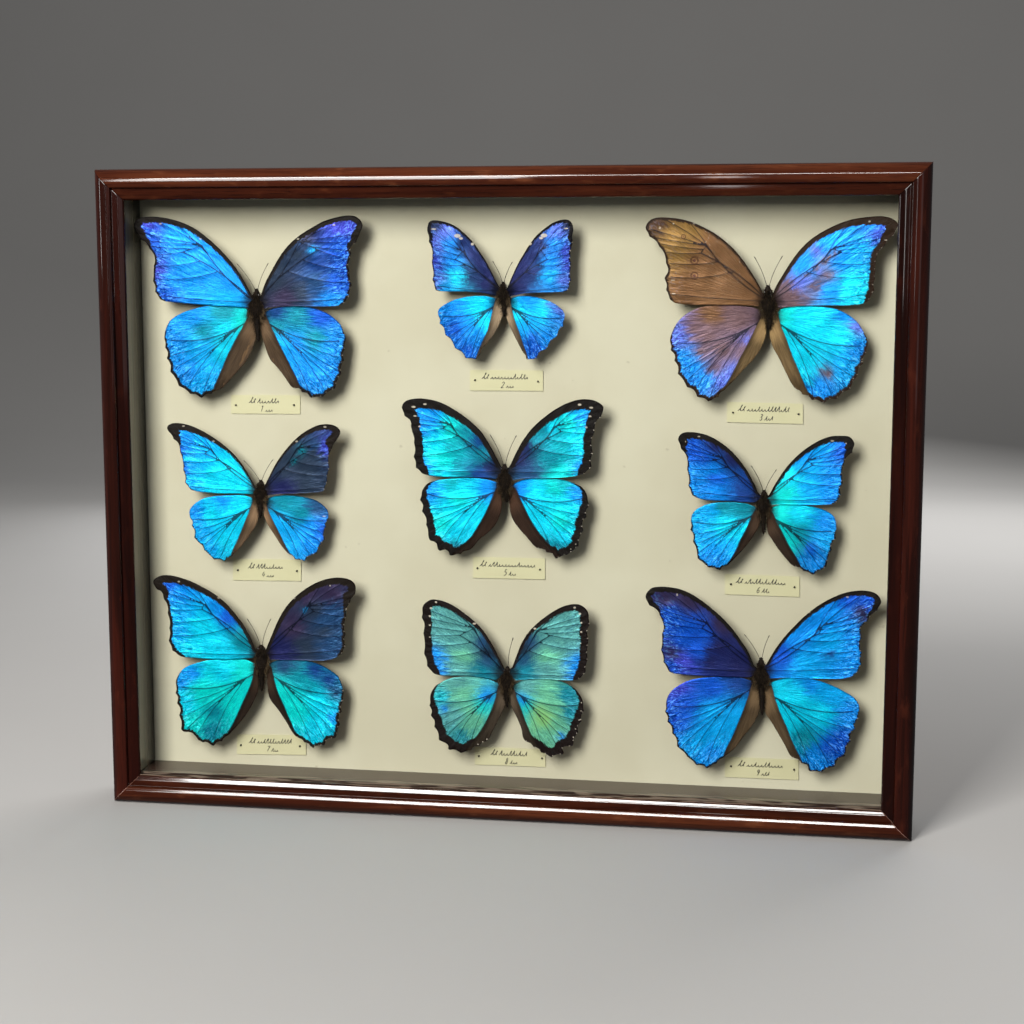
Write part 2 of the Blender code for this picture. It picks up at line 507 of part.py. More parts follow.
# Back panel, with the toothed hanger nailed on it inside the recess.
panel_front = BOARD_FRONT + BOARD_THICK + 0.3
panel_back = panel_front + PANEL_THICK
panel = box("back_panel", -half + edge, half - edge, edge, TALL - edge, panel_front, panel_back,
            paint("brown fibre board", (0.24, 0.15, 0.08), 0.75))
HANG_HEIGHT = TALL - 22.0
NAIL_SPREAD = 20.0
steps = 46
outline = []
for k in range(steps + 1):
    x = -23.0 + k
    raised = min(max((17.0 - abs(x)) / 3.0, 0.0), 1.0)
    tooth = 1.0 if (abs(x) < 13.5 and k % 2 == 0) else 0.0
    outline.append((x, HANG_HEIGHT - 4.0 + tooth, HANG_HEIGHT + 4.0, panel_back + 0.3 + 1.9 * raised))
verts = []
for x, low, high, depth in outline:
    verts.extend([point(x, low, depth), point(x, high, depth),
                  point(x, high, depth + 0.8), point(x, low, depth + 0.8)])
faces = [(0, 1, 2, 3), tuple(range(4 * steps, 4 * steps + 4))]
for k in range(steps):
    for side in range(4):
        a = 4 * k + side
        b = 4 * k + (side + 1) % 4
        faces.append((a, b, b + 4, a + 4))
hanger = node("sawtooth_hanger", verts, faces, paint("plated steel", (0.72, 0.70, 0.66), 0.3, metal=1.0))
for name, x in (("hanger_nail_left", -NAIL_SPREAD), ("hanger_nail_right", NAIL_SPREAD)):
    z = HANG_HEIGHT
    combine(hanger, rod("cut", x, z, [(panel_back, 0.9), (panel_back + 3.0, 0.9)], 12), "DIFFERENCE")
    combine(panel, rod("cut", x, z, [(panel_back - 2.4, 0.9), (panel_back + 1.0, 0.9)], 12), "DIFFERENCE")
    rod(name, x, z, [(panel_back - 2.0, 0.15), (panel_back - 1.4, 0.55), (panel_back + 1.4, 0.55),
                     (panel_back + 1.45, 1.5), (panel_back + 1.9, 1.4), (panel_back + 2.1, 0.7)], 8,
        paint("plated steel nail", (0.66, 0.62, 0.52), 0.3, metal=1.0))
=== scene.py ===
"""Looks of the glazed box of nine blue butterflies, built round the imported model."""
import math
import random

import bmesh
import bpy
import numpy as np
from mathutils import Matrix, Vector, geometry, noise


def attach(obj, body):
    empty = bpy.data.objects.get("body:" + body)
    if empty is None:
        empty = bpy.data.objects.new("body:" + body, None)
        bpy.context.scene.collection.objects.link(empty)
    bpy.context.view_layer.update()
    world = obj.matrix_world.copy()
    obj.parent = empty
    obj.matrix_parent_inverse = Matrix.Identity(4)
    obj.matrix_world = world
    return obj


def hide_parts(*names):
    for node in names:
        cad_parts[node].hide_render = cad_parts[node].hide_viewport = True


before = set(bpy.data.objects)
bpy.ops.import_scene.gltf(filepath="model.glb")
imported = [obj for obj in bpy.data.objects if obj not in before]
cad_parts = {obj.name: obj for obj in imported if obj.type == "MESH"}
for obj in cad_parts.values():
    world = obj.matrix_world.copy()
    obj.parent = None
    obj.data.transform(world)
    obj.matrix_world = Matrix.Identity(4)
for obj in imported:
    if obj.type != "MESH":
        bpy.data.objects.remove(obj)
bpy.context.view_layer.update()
scene = bpy.context.scene
scene.view_settings.view_transform = "Standard"

# The box in mm: its size, its rails, and how far behind the front its layers lie.
MM = 0.001
WIDE = 500.0
TALL = 398.0
DEEP = 54.0
LIP = 18.7
WALL = 8.0
GLASS_FRONT = 7.0
BOARD_FRONT = 36.0
PANEL_BACK = 49.3
WING_DEPTH = 23.0

# The camera, read from the box's corners in the picture. Lengths in mm, from the frame's centre,
# with y up and z towards the viewer. VIEW_BACK points from the aim to the camera.
PICTURE = 1024.0
VIEW_FOCAL = 1772.7
VIEW_TURN = math.radians(9.315)
VIEW_RISE = math.radians(7.845)
VIEW_AIM = Vector((9.57, -5.41, 0.0))
VIEW_BACK = Vector((math.sin(VIEW_TURN) * math.cos(VIEW_RISE), math.sin(VIEW_RISE),
                    math.cos(VIEW_TURN) * math.cos(VIEW_RISE)))
VIEW_FAR = 1061.7
SENSOR = 36.0


def at_depth(depth):
    """The scene's y, in metres, at a depth in mm behind the front."""
    return (depth - DEEP / 2.0) * MM


def point(x, z, depth):
    """A point in metres from its place across, its height and its depth behind the front, in mm."""
    return Vector((x * MM, at_depth(depth), z * MM))


def on_depth(px, py, depth):
    """Where the sight line through a picture point meets a plane at this depth, as (x, z) in mm."""
    right = Vector((math.cos(VIEW_TURN), 0.0, -math.sin(VIEW_TURN)))
    up = VIEW_BACK.cross(right)
    eye = VIEW_AIM + VIEW_FAR * VIEW_BACK
    ray = -VIEW_BACK + right * (px - PICTURE / 2.0) / VIEW_FOCAL + up * (PICTURE / 2.0 - py) / VIEW_FOCAL
    reach = (eye.z + depth) / -ray.z
    hit = eye + ray * reach
    return hit.x, hit.y + TALL / 2.0


def set_camera():
    """The photo's camera, set up in the scene's own axes."""
    aim = point(VIEW_AIM.x, VIEW_AIM.y + TALL / 2.0, 0.0)
    back = Vector((VIEW_BACK.x, -VIEW_BACK.z, VIEW_BACK.y))
    data = bpy.data.cameras.new("camera")
    data.sensor_fit = "HORIZONTAL"
    data.sensor_width = SENSOR
    data.lens = VIEW_FOCAL / PICTURE * SENSOR
    data.clip_start = 0.02
    cam = bpy.data.objects.new("camera", data)
    cam.location = aim + back * VIEW_FAR * MM
    cam.rotation_euler = (-back).to_track_quat("-Z", "Y").to_euler()
    scene.collection.objects.link(cam)
    scene.camera = cam


set_camera()


MIDDLE = Vector((0.0, 0.0, 0.2))


def soft_light(name, place, wide, high, power, colour=(1.0, 1.0, 1.0)):
    """A rectangular lamp that faces the middle of the box. Its place and size are in metres."""
    data = bpy.data.lights.new(name, "AREA")
    data.shape = "RECTANGLE"
    data.size = wide
    data.size_y = high
    data.energy = power
    data.color = colour
    lamp = bpy.data.objects.new(name, data)
    lamp.location = place
    lamp.rotation_euler = (MIDDLE - Vector(place)).to_track_quat("-Z", "Y").to_euler()
    scene.collection.objects.link(lamp)
    return lamp


soft_light("key", (-0.48, -1.4, 0.95), 0.6, 0.95, 35.0, (1.0, 0.98, 0.95))
# A long lamp that only shows as the thin gleam along the mouldings and on the wings.
strip = soft_light("strip", (-0.2, -1.35, 1.0), 1.1, 0.15, 24.0, (1.0, 0.97, 0.94))
strip.visible_diffuse = False
# Low lamps that only show as gleams: two on the upright rails, one on the metal at the back.
for name, place, wide, power in (("gleam left", (-1.55, -0.35, 0.46), 0.1, 1.5),
                                 ("gleam right", (0.07, -1.4, 0.42), 0.05, 0.4),
                                 ("gleam back", (-0.5, 1.5, 0.32), 0.8, 9.0)):
    soft_light(name, place, wide, 0.25, power).visible_diffuse = False
soft_light("fill", (1.2, -1.3, 0.7), 1.2, 1.2, 2.0, (0.95, 0.97, 1.0))
soft_light("behind", (0.5, 1.4, 1.0), 1.2, 1.2, 20.0).visible_glossy = False

world = bpy.data.worlds.new("studio")
world.use_nodes = True
air = world.node_tree.nodes["Background"]
air.inputs["Color"].default_value = (0.86, 0.88, 0.92, 1.0)
air.inputs["Strength"].default_value = 0.09
scene.world = world


class Paint:
    """A node material, written as a few chained calls. Each call gives back an output socket."""

    def __init__(self, name, rough=0.5, metal=0.0, coat=0.0, coat_rough=0.1):
        self.mat = bpy.data.materials.new(name)
        self.mat.use_nodes = True
        self.tree = self.mat.node_tree
        self.shader = self.tree.nodes["Principled BSDF"]
        for socket, value in (("Roughness", rough), ("Metallic", metal), ("Coat Weight", coat),
                              ("Coat Roughness", coat_rough), ("IOR", 1.5)):
            self.shader.inputs[socket].default_value = value

    def new(self, kind, **values):
        made = self.tree.nodes.new(kind)
        for key, value in values.items():
            setattr(made, key, value)
        return made

    def feed(self, socket, value):
        """Link or set one input, whichever the value calls for."""
        if isinstance(value, bpy.types.NodeSocket):
            self.tree.links.new(value, socket)
        elif isinstance(value, (tuple, list)) and len(value) == 3 and socket.type == "RGBA":
            socket.default_value = (*value, 1.0)
        else:
            socket.default_value = value

    def set(self, name, value):
        self.feed(self.shader.inputs[name], value)

    def attribute(self, name, part="Fac"):
        return self.new("ShaderNodeAttribute", attribute_name=name).outputs[part]

    def place(self):
        return self.new("ShaderNodeTexCoord").outputs["Object"]

    def drawn_out(self, share, along):
        """The place on the piece, with x or z shortened to this share so that marks run long."""
        return self.stretch(self.place(), (share, 1.0, 1.0) if along == "x" else (1.0, 1.0, share))

    def math(self, how, a, b=0.0, c=0.0):
        made = self.new("ShaderNodeMath", operation=how)
        for socket, value in zip(made.inputs, (a, b, c)):
            self.feed(socket, value)
        return made.outputs[0]

    def stretch(self, vector, scale):
        made = self.new("ShaderNodeVectorMath", operation="MULTIPLY")
        self.feed(made.inputs[0], vector)
        made.inputs[1].default_value = scale
        return made.outputs[0]

    def noise(self, vector, scale, detail=3.0, rough=0.55, warp=0.0):
        made = self.new("ShaderNodeTexNoise")
        self.feed(made.inputs["Vector"], vector)
        made.inputs["Scale"].default_value = scale
        made.inputs["Detail"].default_value = detail
        made.inputs["Roughness"].default_value = rough
        made.inputs["Distortion"].default_value = warp
        return made.outputs["Fac"]

    def span(self, value, low, high, out_low=0.0, out_high=1.0):
        """value carried smoothly from low..high to out_low..out_high."""
        made = self.new("ShaderNodeMapRange", interpolation_type="SMOOTHSTEP")
        for key, number in (("Value", value), ("From Min", low), ("From Max", high),
                            ("To Min", out_low), ("To Max", out_high)):
            self.feed(made.inputs[key], number)
        return made.outputs["Result"]

    def mix(self, share, a, b, how="MIX"):
        made = self.new("ShaderNodeMix", data_type="RGBA", blend_type=how)
        self.feed(made.inputs[0], share)
        self.feed(made.inputs[6], a)
        self.feed(made.inputs[7], b)
        return made.outputs[2]

    def times(self, a, b):
        return self.mix(1.0, a, b, "MULTIPLY")

    def sway(self, value, size):
        """A noise of 0 to 1, centred on zero and this large from end to end."""
        return self.math("MULTIPLY", self.math("SUBTRACT", value, 0.5), size)

    def bump(self, height, strength, distance, below=None):
        made = self.new("ShaderNodeBump")
        made.inputs["Strength"].default_value = strength
        made.inputs["Distance"].default_value = distance
        self.feed(made.inputs["Height"], height)
        if below is not None:
            self.feed(made.inputs["Normal"], below)
        return made.outputs["Normal"]


def shade(red, green, blue):
    """A colour given in 0 to 255, as light."""
    return tuple((c / 255.0 / 12.92) if c <= 10 else ((c / 255.0 + 0.055) / 1.055) ** 2.4
                 for c in (red, green, blue))


def dress(name, paint):
    """Give a carried-over node its material."""
    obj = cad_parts[name]
    if not obj.material_slots:
        obj.data.materials.append(None)
    for held in obj.material_slots:
        held.link = "OBJECT"
        held.material = paint.mat


def solid(name, verts, faces, paint, smooth=True, rides=True):
    """A new piece that rides with the box."""
    mesh = bpy.data.meshes.new(name)
    mesh.from_pydata([tuple(v) for v in verts], [], faces)
    mesh.update()
    mesh.polygons.foreach_set("use_smooth", [smooth] * len(mesh.polygons))
    mesh.materials.append(paint.mat)
    obj = bpy.data.objects.new(name, mesh)
    scene.collection.objects.link(obj)
    if rides:
        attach(obj, "root")
    return obj


# Where a mesh attribute of each kind keeps its numbers.
LAYER_KEYS = {"FLOAT": "value", "FLOAT_VECTOR": "vector", "FLOAT_COLOR": "color"}


def store(obj, name, numbers, kind="FLOAT"):
    """Keep numbers for every point of the mesh, for its material to read."""
    layer = obj.data.attributes.new(name, kind, "POINT")
    layer.data.foreach_set(LAYER_KEYS[kind], np.asarray(numbers, dtype=np.float32).ravel())


def tidy_normals(obj, weld=False):
    """Turn every face outwards, after joining doubled points where asked."""
    work = bmesh.new()
    work.from_mesh(obj.data)
    if weld:
        bmesh.ops.remove_doubles(work, verts=work.verts, dist=1e-6)
    bmesh.ops.recalc_face_normals(work, faces=work.faces)
    work.to_mesh(obj.data)
    work.free()


def turns(count):
    """Angles all round a ring."""
    return [2.0 * math.pi * k / count for k in range(count)]


def rings_to_faces(count, sides, closed=True, capped=False, offset=0):
    """Quads between rings of points that follow each other, with flat ends where capped."""
    faces = []
    for ring in range(count - 1):
        for side in range(sides if closed else sides - 1):
            a = offset + ring * sides + side
            b = offset + ring * sides + (side + 1) % sides
            faces.append((a, b, b + sides, a + sides))
    if capped:
        last = offset + (count - 1) * sides
        faces.append(tuple(range(offset, offset + sides)))
        faces.append(tuple(range(last, last + sides)))
    return faces


def curve_through(points, per_span):
    """Points along a smooth curve through the given ones, open at both ends."""
    pts = np.array(points, dtype=float)
    ends = np.vstack([2.0 * pts[0] - pts[1], pts, 2.0 * pts[-1] - pts[-2]])
    out = []
    for k in range(1, len(ends) - 2):
        a, b, c, d = ends[k - 1], ends[k], ends[k + 1], ends[k + 2]
        for t in np.arange(per_span) / per_span:
            out.append(0.5 * (2.0 * b + (c - a) * t + (2.0 * a - 5.0 * b + 4.0 * c - d) * t * t
                              + (3.0 * b - a - 3.0 * c + d) * t ** 3))
    out.append(pts[-1])
    return np.array(out)


def evenly(points, gap):
    """The same line with points about gap apart."""
    points = np.asarray(points, dtype=float)
    steps = np.linalg.norm(np.diff(points, axis=0), axis=1)
    along = np.concatenate([[0.0], np.cumsum(steps)])
    count = max(2, int(round(along[-1] / gap)) + 1)
    wanted = np.linspace(0.0, along[-1], count)
    columns = [np.interp(wanted, along, column) for column in points.T]
    return np.column_stack(columns)


def floor():
    """A plain pale sweep: a floor that curves up far behind the box. Lengths in metres."""
    sheet = Paint("pale floor", rough=0.85)
    grain = sheet.noise(sheet.place(), 3.0)
    sheet.set("Base Color", sheet.mix(grain, shade(186, 184, 181), shade(192, 190, 187)))
    near, far, bend, top, side = -4.0, 1.6, 1.2, 4.0, 6.0
    profile = [(near, 0.0), (far, 0.0)]
    profile += [(far + bend * math.sin(a), bend - bend * math.cos(a)) for a in np.linspace(0.1, 1.5, 14)]
    profile.append((far + bend + 0.1, top))
    verts = [(x, y, z) for y, z in profile for x in (-side, side)]
    faces = rings_to_faces(len(profile), 2, closed=False)
    obj = solid("floor", verts, [tuple(reversed(f)) for f in faces], sheet, rides=False)
    # The floor takes the box's shadow but throws no pale light back into it.
    obj.visible_diffuse = False
    obj.visible_glossy = False


floor()


def lacquered_wood(name, along):
    """Dark red-brown mahogany under clear lacquer, its grain running along x or z, with painted shade, and
    painted glints and reflections on the foot.
    """
    wood = Paint(name, rough=0.5, coat=0.8, coat_rough=0.07)
    wood.set("Specular IOR Level", 0.0)
    grain = wood.drawn_out(0.05, along)
    fine = wood.noise(grain, 900.0, 5.0, 0.65, 0.3)
    broad = wood.noise(grain, 130.0, 4.0, 0.55, 0.8)
    mottle = wood.noise(wood.drawn_out(0.35, along), 160.0, 3.0)
    # Painted shade: the upright rails take a darker copy of the same wood, as they catch less of the lamp
    # above.
    if along == "x":
        low, high, flame = shade(64, 26, 13), shade(96, 48, 27), shade(136, 80, 50)
    else:
        low, high, flame = shade(34, 11, 6), shade(62, 23, 14), shade(92, 42, 26)
    colour = wood.mix(wood.span(broad, 0.32, 0.7), low, high)
    colour = wood.mix(wood.span(fine, 0.5, 0.72, 0.0, 0.75), colour, shade(38, 14, 8))
    colour = wood.mix(wood.span(mottle, 0.55, 0.8, 0.0, 0.45), colour, flame)
    # Painted glint: a pale pink line along the foot's mitre joints.
    painted_glint = wood.span(wood.attribute("mitre_glint"), 0.2, 0.9, 0.0, 0.8)
    colour = wood.mix(painted_glint, colour, shade(226, 178, 160))
    # Painted reflections: wavy pale and dark lines that the glass edge throws on the foot's inner lip.
    reflection_wave = wood.noise(wood.drawn_out(0.07, "x"), 620.0, 1.0, 0.5, 0.9)
    lines = wood.mix(wood.span(reflection_wave, 0.45, 0.57), shade(66, 50, 40), shade(170, 154, 138))
    colour = wood.mix(wood.attribute("lip"), colour, lines)
    # Painted shade: the moulding is darker from its valley in to the lip.
    colour = wood.mix(wood.attribute("inner"), colour, wood.times(colour, (0.5, 0.42, 0.38)))
    wood.set("Base Color", colour)
    wood.set("Roughness", wood.span(fine, 0.3, 0.8, 0.44, 0.56))
    wood.set("Normal", wood.bump(fine, 0.3, 0.00004, wood.bump(mottle, 0.2, 0.0001)))
    wood.set("Coat Normal", wood.bump(mottle, 0.25, 0.00008))
    return wood


# The moulded front of a rail's section: in from the outside edge, back from the front.
SECTION = [(0.0, 9.5), (0.2, 7.4), (0.8, 5.4), (1.8, 3.7), (3.0, 2.3), (4.2, 1.3), (5.2, 0.6), (6.0, 0.2),
           (6.8, 0.05), (8.2, 0.0), (9.2, 0.08), (9.8, 0.32), (10.5, 0.68), (11.2, 1.05), (11.6, 1.8),
           (11.9, 2.9), (12.1, 3.25), (13.3, 3.34), (14.9, 3.44), (15.6, 3.56), (16.4, 3.97), (17.2, 4.38),
           (17.8, 4.7), (18.4, 5.3), (18.7, 5.9), (18.7, 6.6)]
# The rest of the section: the rebate for the glass, the wall and the back.
REBATE = [(LIP - 0.2, GLASS_FRONT - 0.1), (WALL + 0.8, GLASS_FRONT - 0.1), (WALL, GLASS_FRONT + 0.3),
          (WALL, DEEP - 0.4), (WALL - 0.4, DEEP), (0.5, DEEP), (0.0, DEEP - 0.5), (0.0, 30.0)]
MITRE_GAP = 0.05
# Behind this depth the section is the plain wall of the box.
MOULDED = 6.0
# Stations near each mitre are close together, to hold the pale line of the joint, a painted glint.
NEAR_MITRE = [0.0, 0.12, 0.3, 0.6, 1.2, 3.0]
JOINT = 0.2


def rail(side):
    """One rail, its moulded front drawn smoothly and its ends closed on the mitre."""
    front = evenly(curve_through(SECTION, 6), 0.3)
    section = [tuple(p) for p in front] + REBATE
    half = WIDE / 2.0
    across = side in ("top", "bottom")
    long = half if across else TALL / 2.0
    stations = [(-1, n) for n in NEAR_MITRE] + [(0, s) for s in np.linspace(-0.9, 0.9, 25)]
    stations += [(1, n) for n in reversed(NEAR_MITRE)]
    verts = []
    mitre_glint = []
    lip = []
    inner = []
    # Only the foot rail carries the painted glint at its mitres and the painted reflections on its lip.
    painted_glint = side == "bottom"
    for end, step in stations:
        for inset, depth in section:
            if end:
                run = end * (long - inset - MITRE_GAP - step)
            else:
                run = step * (long - LIP - 3.0)
            dip = 0.12 * max(0.0, 1.0 - step / JOINT) if end and depth < MOULDED else 0.0
            if across:
                x, z = run, (TALL - inset if side == "top" else inset)
            else:
                x, z = (half - inset if side == "right" else inset - half), TALL / 2.0 + run
            verts.append(point(x, z, depth + dip))
            mitre_glint.append(1.0 if painted_glint and end and step < JOINT and 1.0 < inset < 17.5 else 0.0)
            lip.append(0.85 if painted_glint and inset > 18.0 and 4.9 < depth < 7.0 else 0.0)
            inner.append(min(1.0, max(0.0, (inset - 10.5) / 1.5)) if depth < MOULDED else 0.0)
    faces = rings_to_faces(len(stations), len(section), capped=True)
    wood = lacquered_wood("mahogany " + side, "x" if across else "z")
    obj = solid("moulding_" + side, verts, faces, wood)
    tidy_normals(obj)
    for name, values in (("mitre_glint", mitre_glint), ("lip", lip), ("inner", inner)):
        store(obj, name, values)
    obj.data.set_sharp_from_angle(angle=math.radians(35.0))
    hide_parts("rail_" + side)


for side in ("top", "bottom", "left", "right"):
    rail(side)


def glass_paint():
    """Clear thin glass: it lets light through and mirrors a little at a slant."""
    glass = Paint("clear glass")
    out = next(n for n in glass.tree.nodes if n.type == "OUTPUT_MATERIAL")
    clear = glass.new("ShaderNodeBsdfTransparent")
    clear.inputs["Color"].default_value = (0.985, 0.995, 0.99, 1.0)
    gloss = glass.new("ShaderNodeBsdfGlossy")
    gloss.inputs["Roughness"].default_value = 0.015
    slant = glass.new("ShaderNodeLayerWeight")
    steep = glass.math("POWER", slant.outputs["Facing"], 5.0)
    blend = glass.new("ShaderNodeMixShader")
    glass.feed(blend.inputs[0], glass.math("MULTIPLY_ADD", steep, 0.5, 0.0006))
    glass.feed(blend.inputs[1], clear.outputs[0])
    glass.feed(blend.inputs[2], gloss.outputs[0])
    glass.feed(out.inputs["Surface"], blend.outputs[0])
    glass.tree.nodes.remove(glass.shader)
    return glass


dress("glass_pane", glass_paint())
# Clear glass throws no shadow. Left out of those rays, it keeps the render short.
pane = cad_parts["glass_pane"]
pane.visible_shadow = False
pane.visible_diffuse = False


def lining_paint(name, front, back, along, reflected_lines=0.0):
    """Satin grey-brown lining with faint long brush marks, and painted shade that darkens it towards the
    board.
    """
    satin = Paint(name, rough=0.24)
    marks = satin.noise(satin.drawn_out(0.03, along), 700.0, 3.0)
    deep = satin.new("ShaderNodeSeparateXYZ")
    satin.feed(deep.inputs[0], satin.place())
    # Painted shade: darker from the glass back towards the board, where the lip's shadow and the corner
    # fall.
    share = satin.span(deep.outputs[1], at_depth(GLASS_FRONT + 3.0), at_depth(BOARD_FRONT - 5.0))
    colour = satin.mix(share, front, back)
    colour = satin.mix(satin.span(marks, 0.4, 0.8, 0.0, 0.35), colour, back)
    # Painted reflections: wavy lines that the glass edge throws on the front of the lower strip.
    reflection_wave = satin.noise(satin.stretch(satin.place(), (0.06, 0.6, 1.0)), 620.0, 1.0, 0.5, 0.8)
    lines = satin.mix(satin.span(reflection_wave, 0.44, 0.56), shade(48, 36, 30), shade(132, 116, 101))
    near = satin.span(deep.outputs[1], at_depth(GLASS_FRONT + 9.0), at_depth(GLASS_FRONT + 6.0), 0.0, reflected_lines)
    satin.set("Base Color", satin.mix(near, colour, lines))
    satin.set("Normal", satin.bump(marks, 0.12, 0.00003))
    return satin


for side, along in (("top", "x"), ("left", "z"), ("right", "z")):
    dress("lining_" + side, lining_paint("lining " + side, shade(128, 120, 104), shade(32, 27, 20), along))
dress("lining_bottom",
      lining_paint("lining bottom", shade(68, 48, 41), shade(64, 47, 39), "x", reflected_lines=0.8))


def board_paint():
    """Cream card with faint clouding, paper tooth and a few specks."""
    card = Paint("cream board", rough=0.82)
    cloud = card.noise(card.place(), 9.0, 4.0, 0.6)
    tooth = card.noise(card.place(), 1500.0, 2.0)
    speck = card.noise(card.place(), 190.0, 1.0)
    colour = card.mix(card.span(cloud, 0.35, 0.65), shade(203, 197, 170), shade(211, 206, 180))
    colour = card.mix(card.span(tooth, 0.3, 0.8, 0.0, 0.12), colour, shade(182, 174, 146))
    colour = card.mix(card.span(speck, 0.79, 0.82, 0.0, 0.35), colour, shade(160, 150, 122))
    card.set("Base Color", colour)
    card.set("Normal", card.bump(tooth, 0.3, 0.00006))
    return card


dress("backing_board", board_paint())


def fibre_paint():
    """Brown hardboard with short pressed fibres."""
    board = Paint("fibre board", rough=0.74)
    fleck = board.noise(board.drawn_out(0.35, "z"), 620.0, 5.0, 0.7, 0.6)
    cloud = board.noise(board.place(), 14.0)
    colour = board.mix(board.span(cloud, 0.3, 0.7), shade(122, 88, 58), shade(140, 103, 70))
    colour = board.mix(board.span(fleck, 0.5, 0.75, 0.0, 0.7), colour, shade(88, 60, 38))
    board.set("Base Color", colour)
    board.set("Normal", board.bump(fleck, 0.5, 0.0001))
    return board


def metal_paint(name, colour, rough, scratch=0.1):
    """Plated or bare steel with fine scratches."""
    steel = Paint(name, rough=rough, metal=1.0)
    marks = steel.noise(steel.drawn_out(0.2, "x"), 2600.0, 3.0)
    cloud = steel.noise(steel.place(), 260.0)
    dull = tuple(c * 0.55 for c in colour)
    steel.set("Base Color", steel.mix(steel.span(cloud, 0.35, 0.8, 0.0, 0.6), colour, dull))
    steel.set("Roughness", steel.span(marks, 0.3, 0.7, rough - scratch / 2.0, rough + scratch))
    steel.set("Normal", steel.bump(marks, 0.2, 0.00001))
    return steel


dress("back_panel", fibre_paint())
dress("sawtooth_hanger", metal_paint("plated hanger", shade(206, 204, 198), 0.32))
for name in ("hanger_nail_left", "hanger_nail_right"):
    dress(name, metal_paint("brass plated nail", shade(208, 186, 132), 0.3))
pin_metal = metal_paint("dark steel pin", shade(52, 48, 44), 0.38)
for number in range(1, 10):
    dress("specimen_pin_%d" % number, pin_metal)


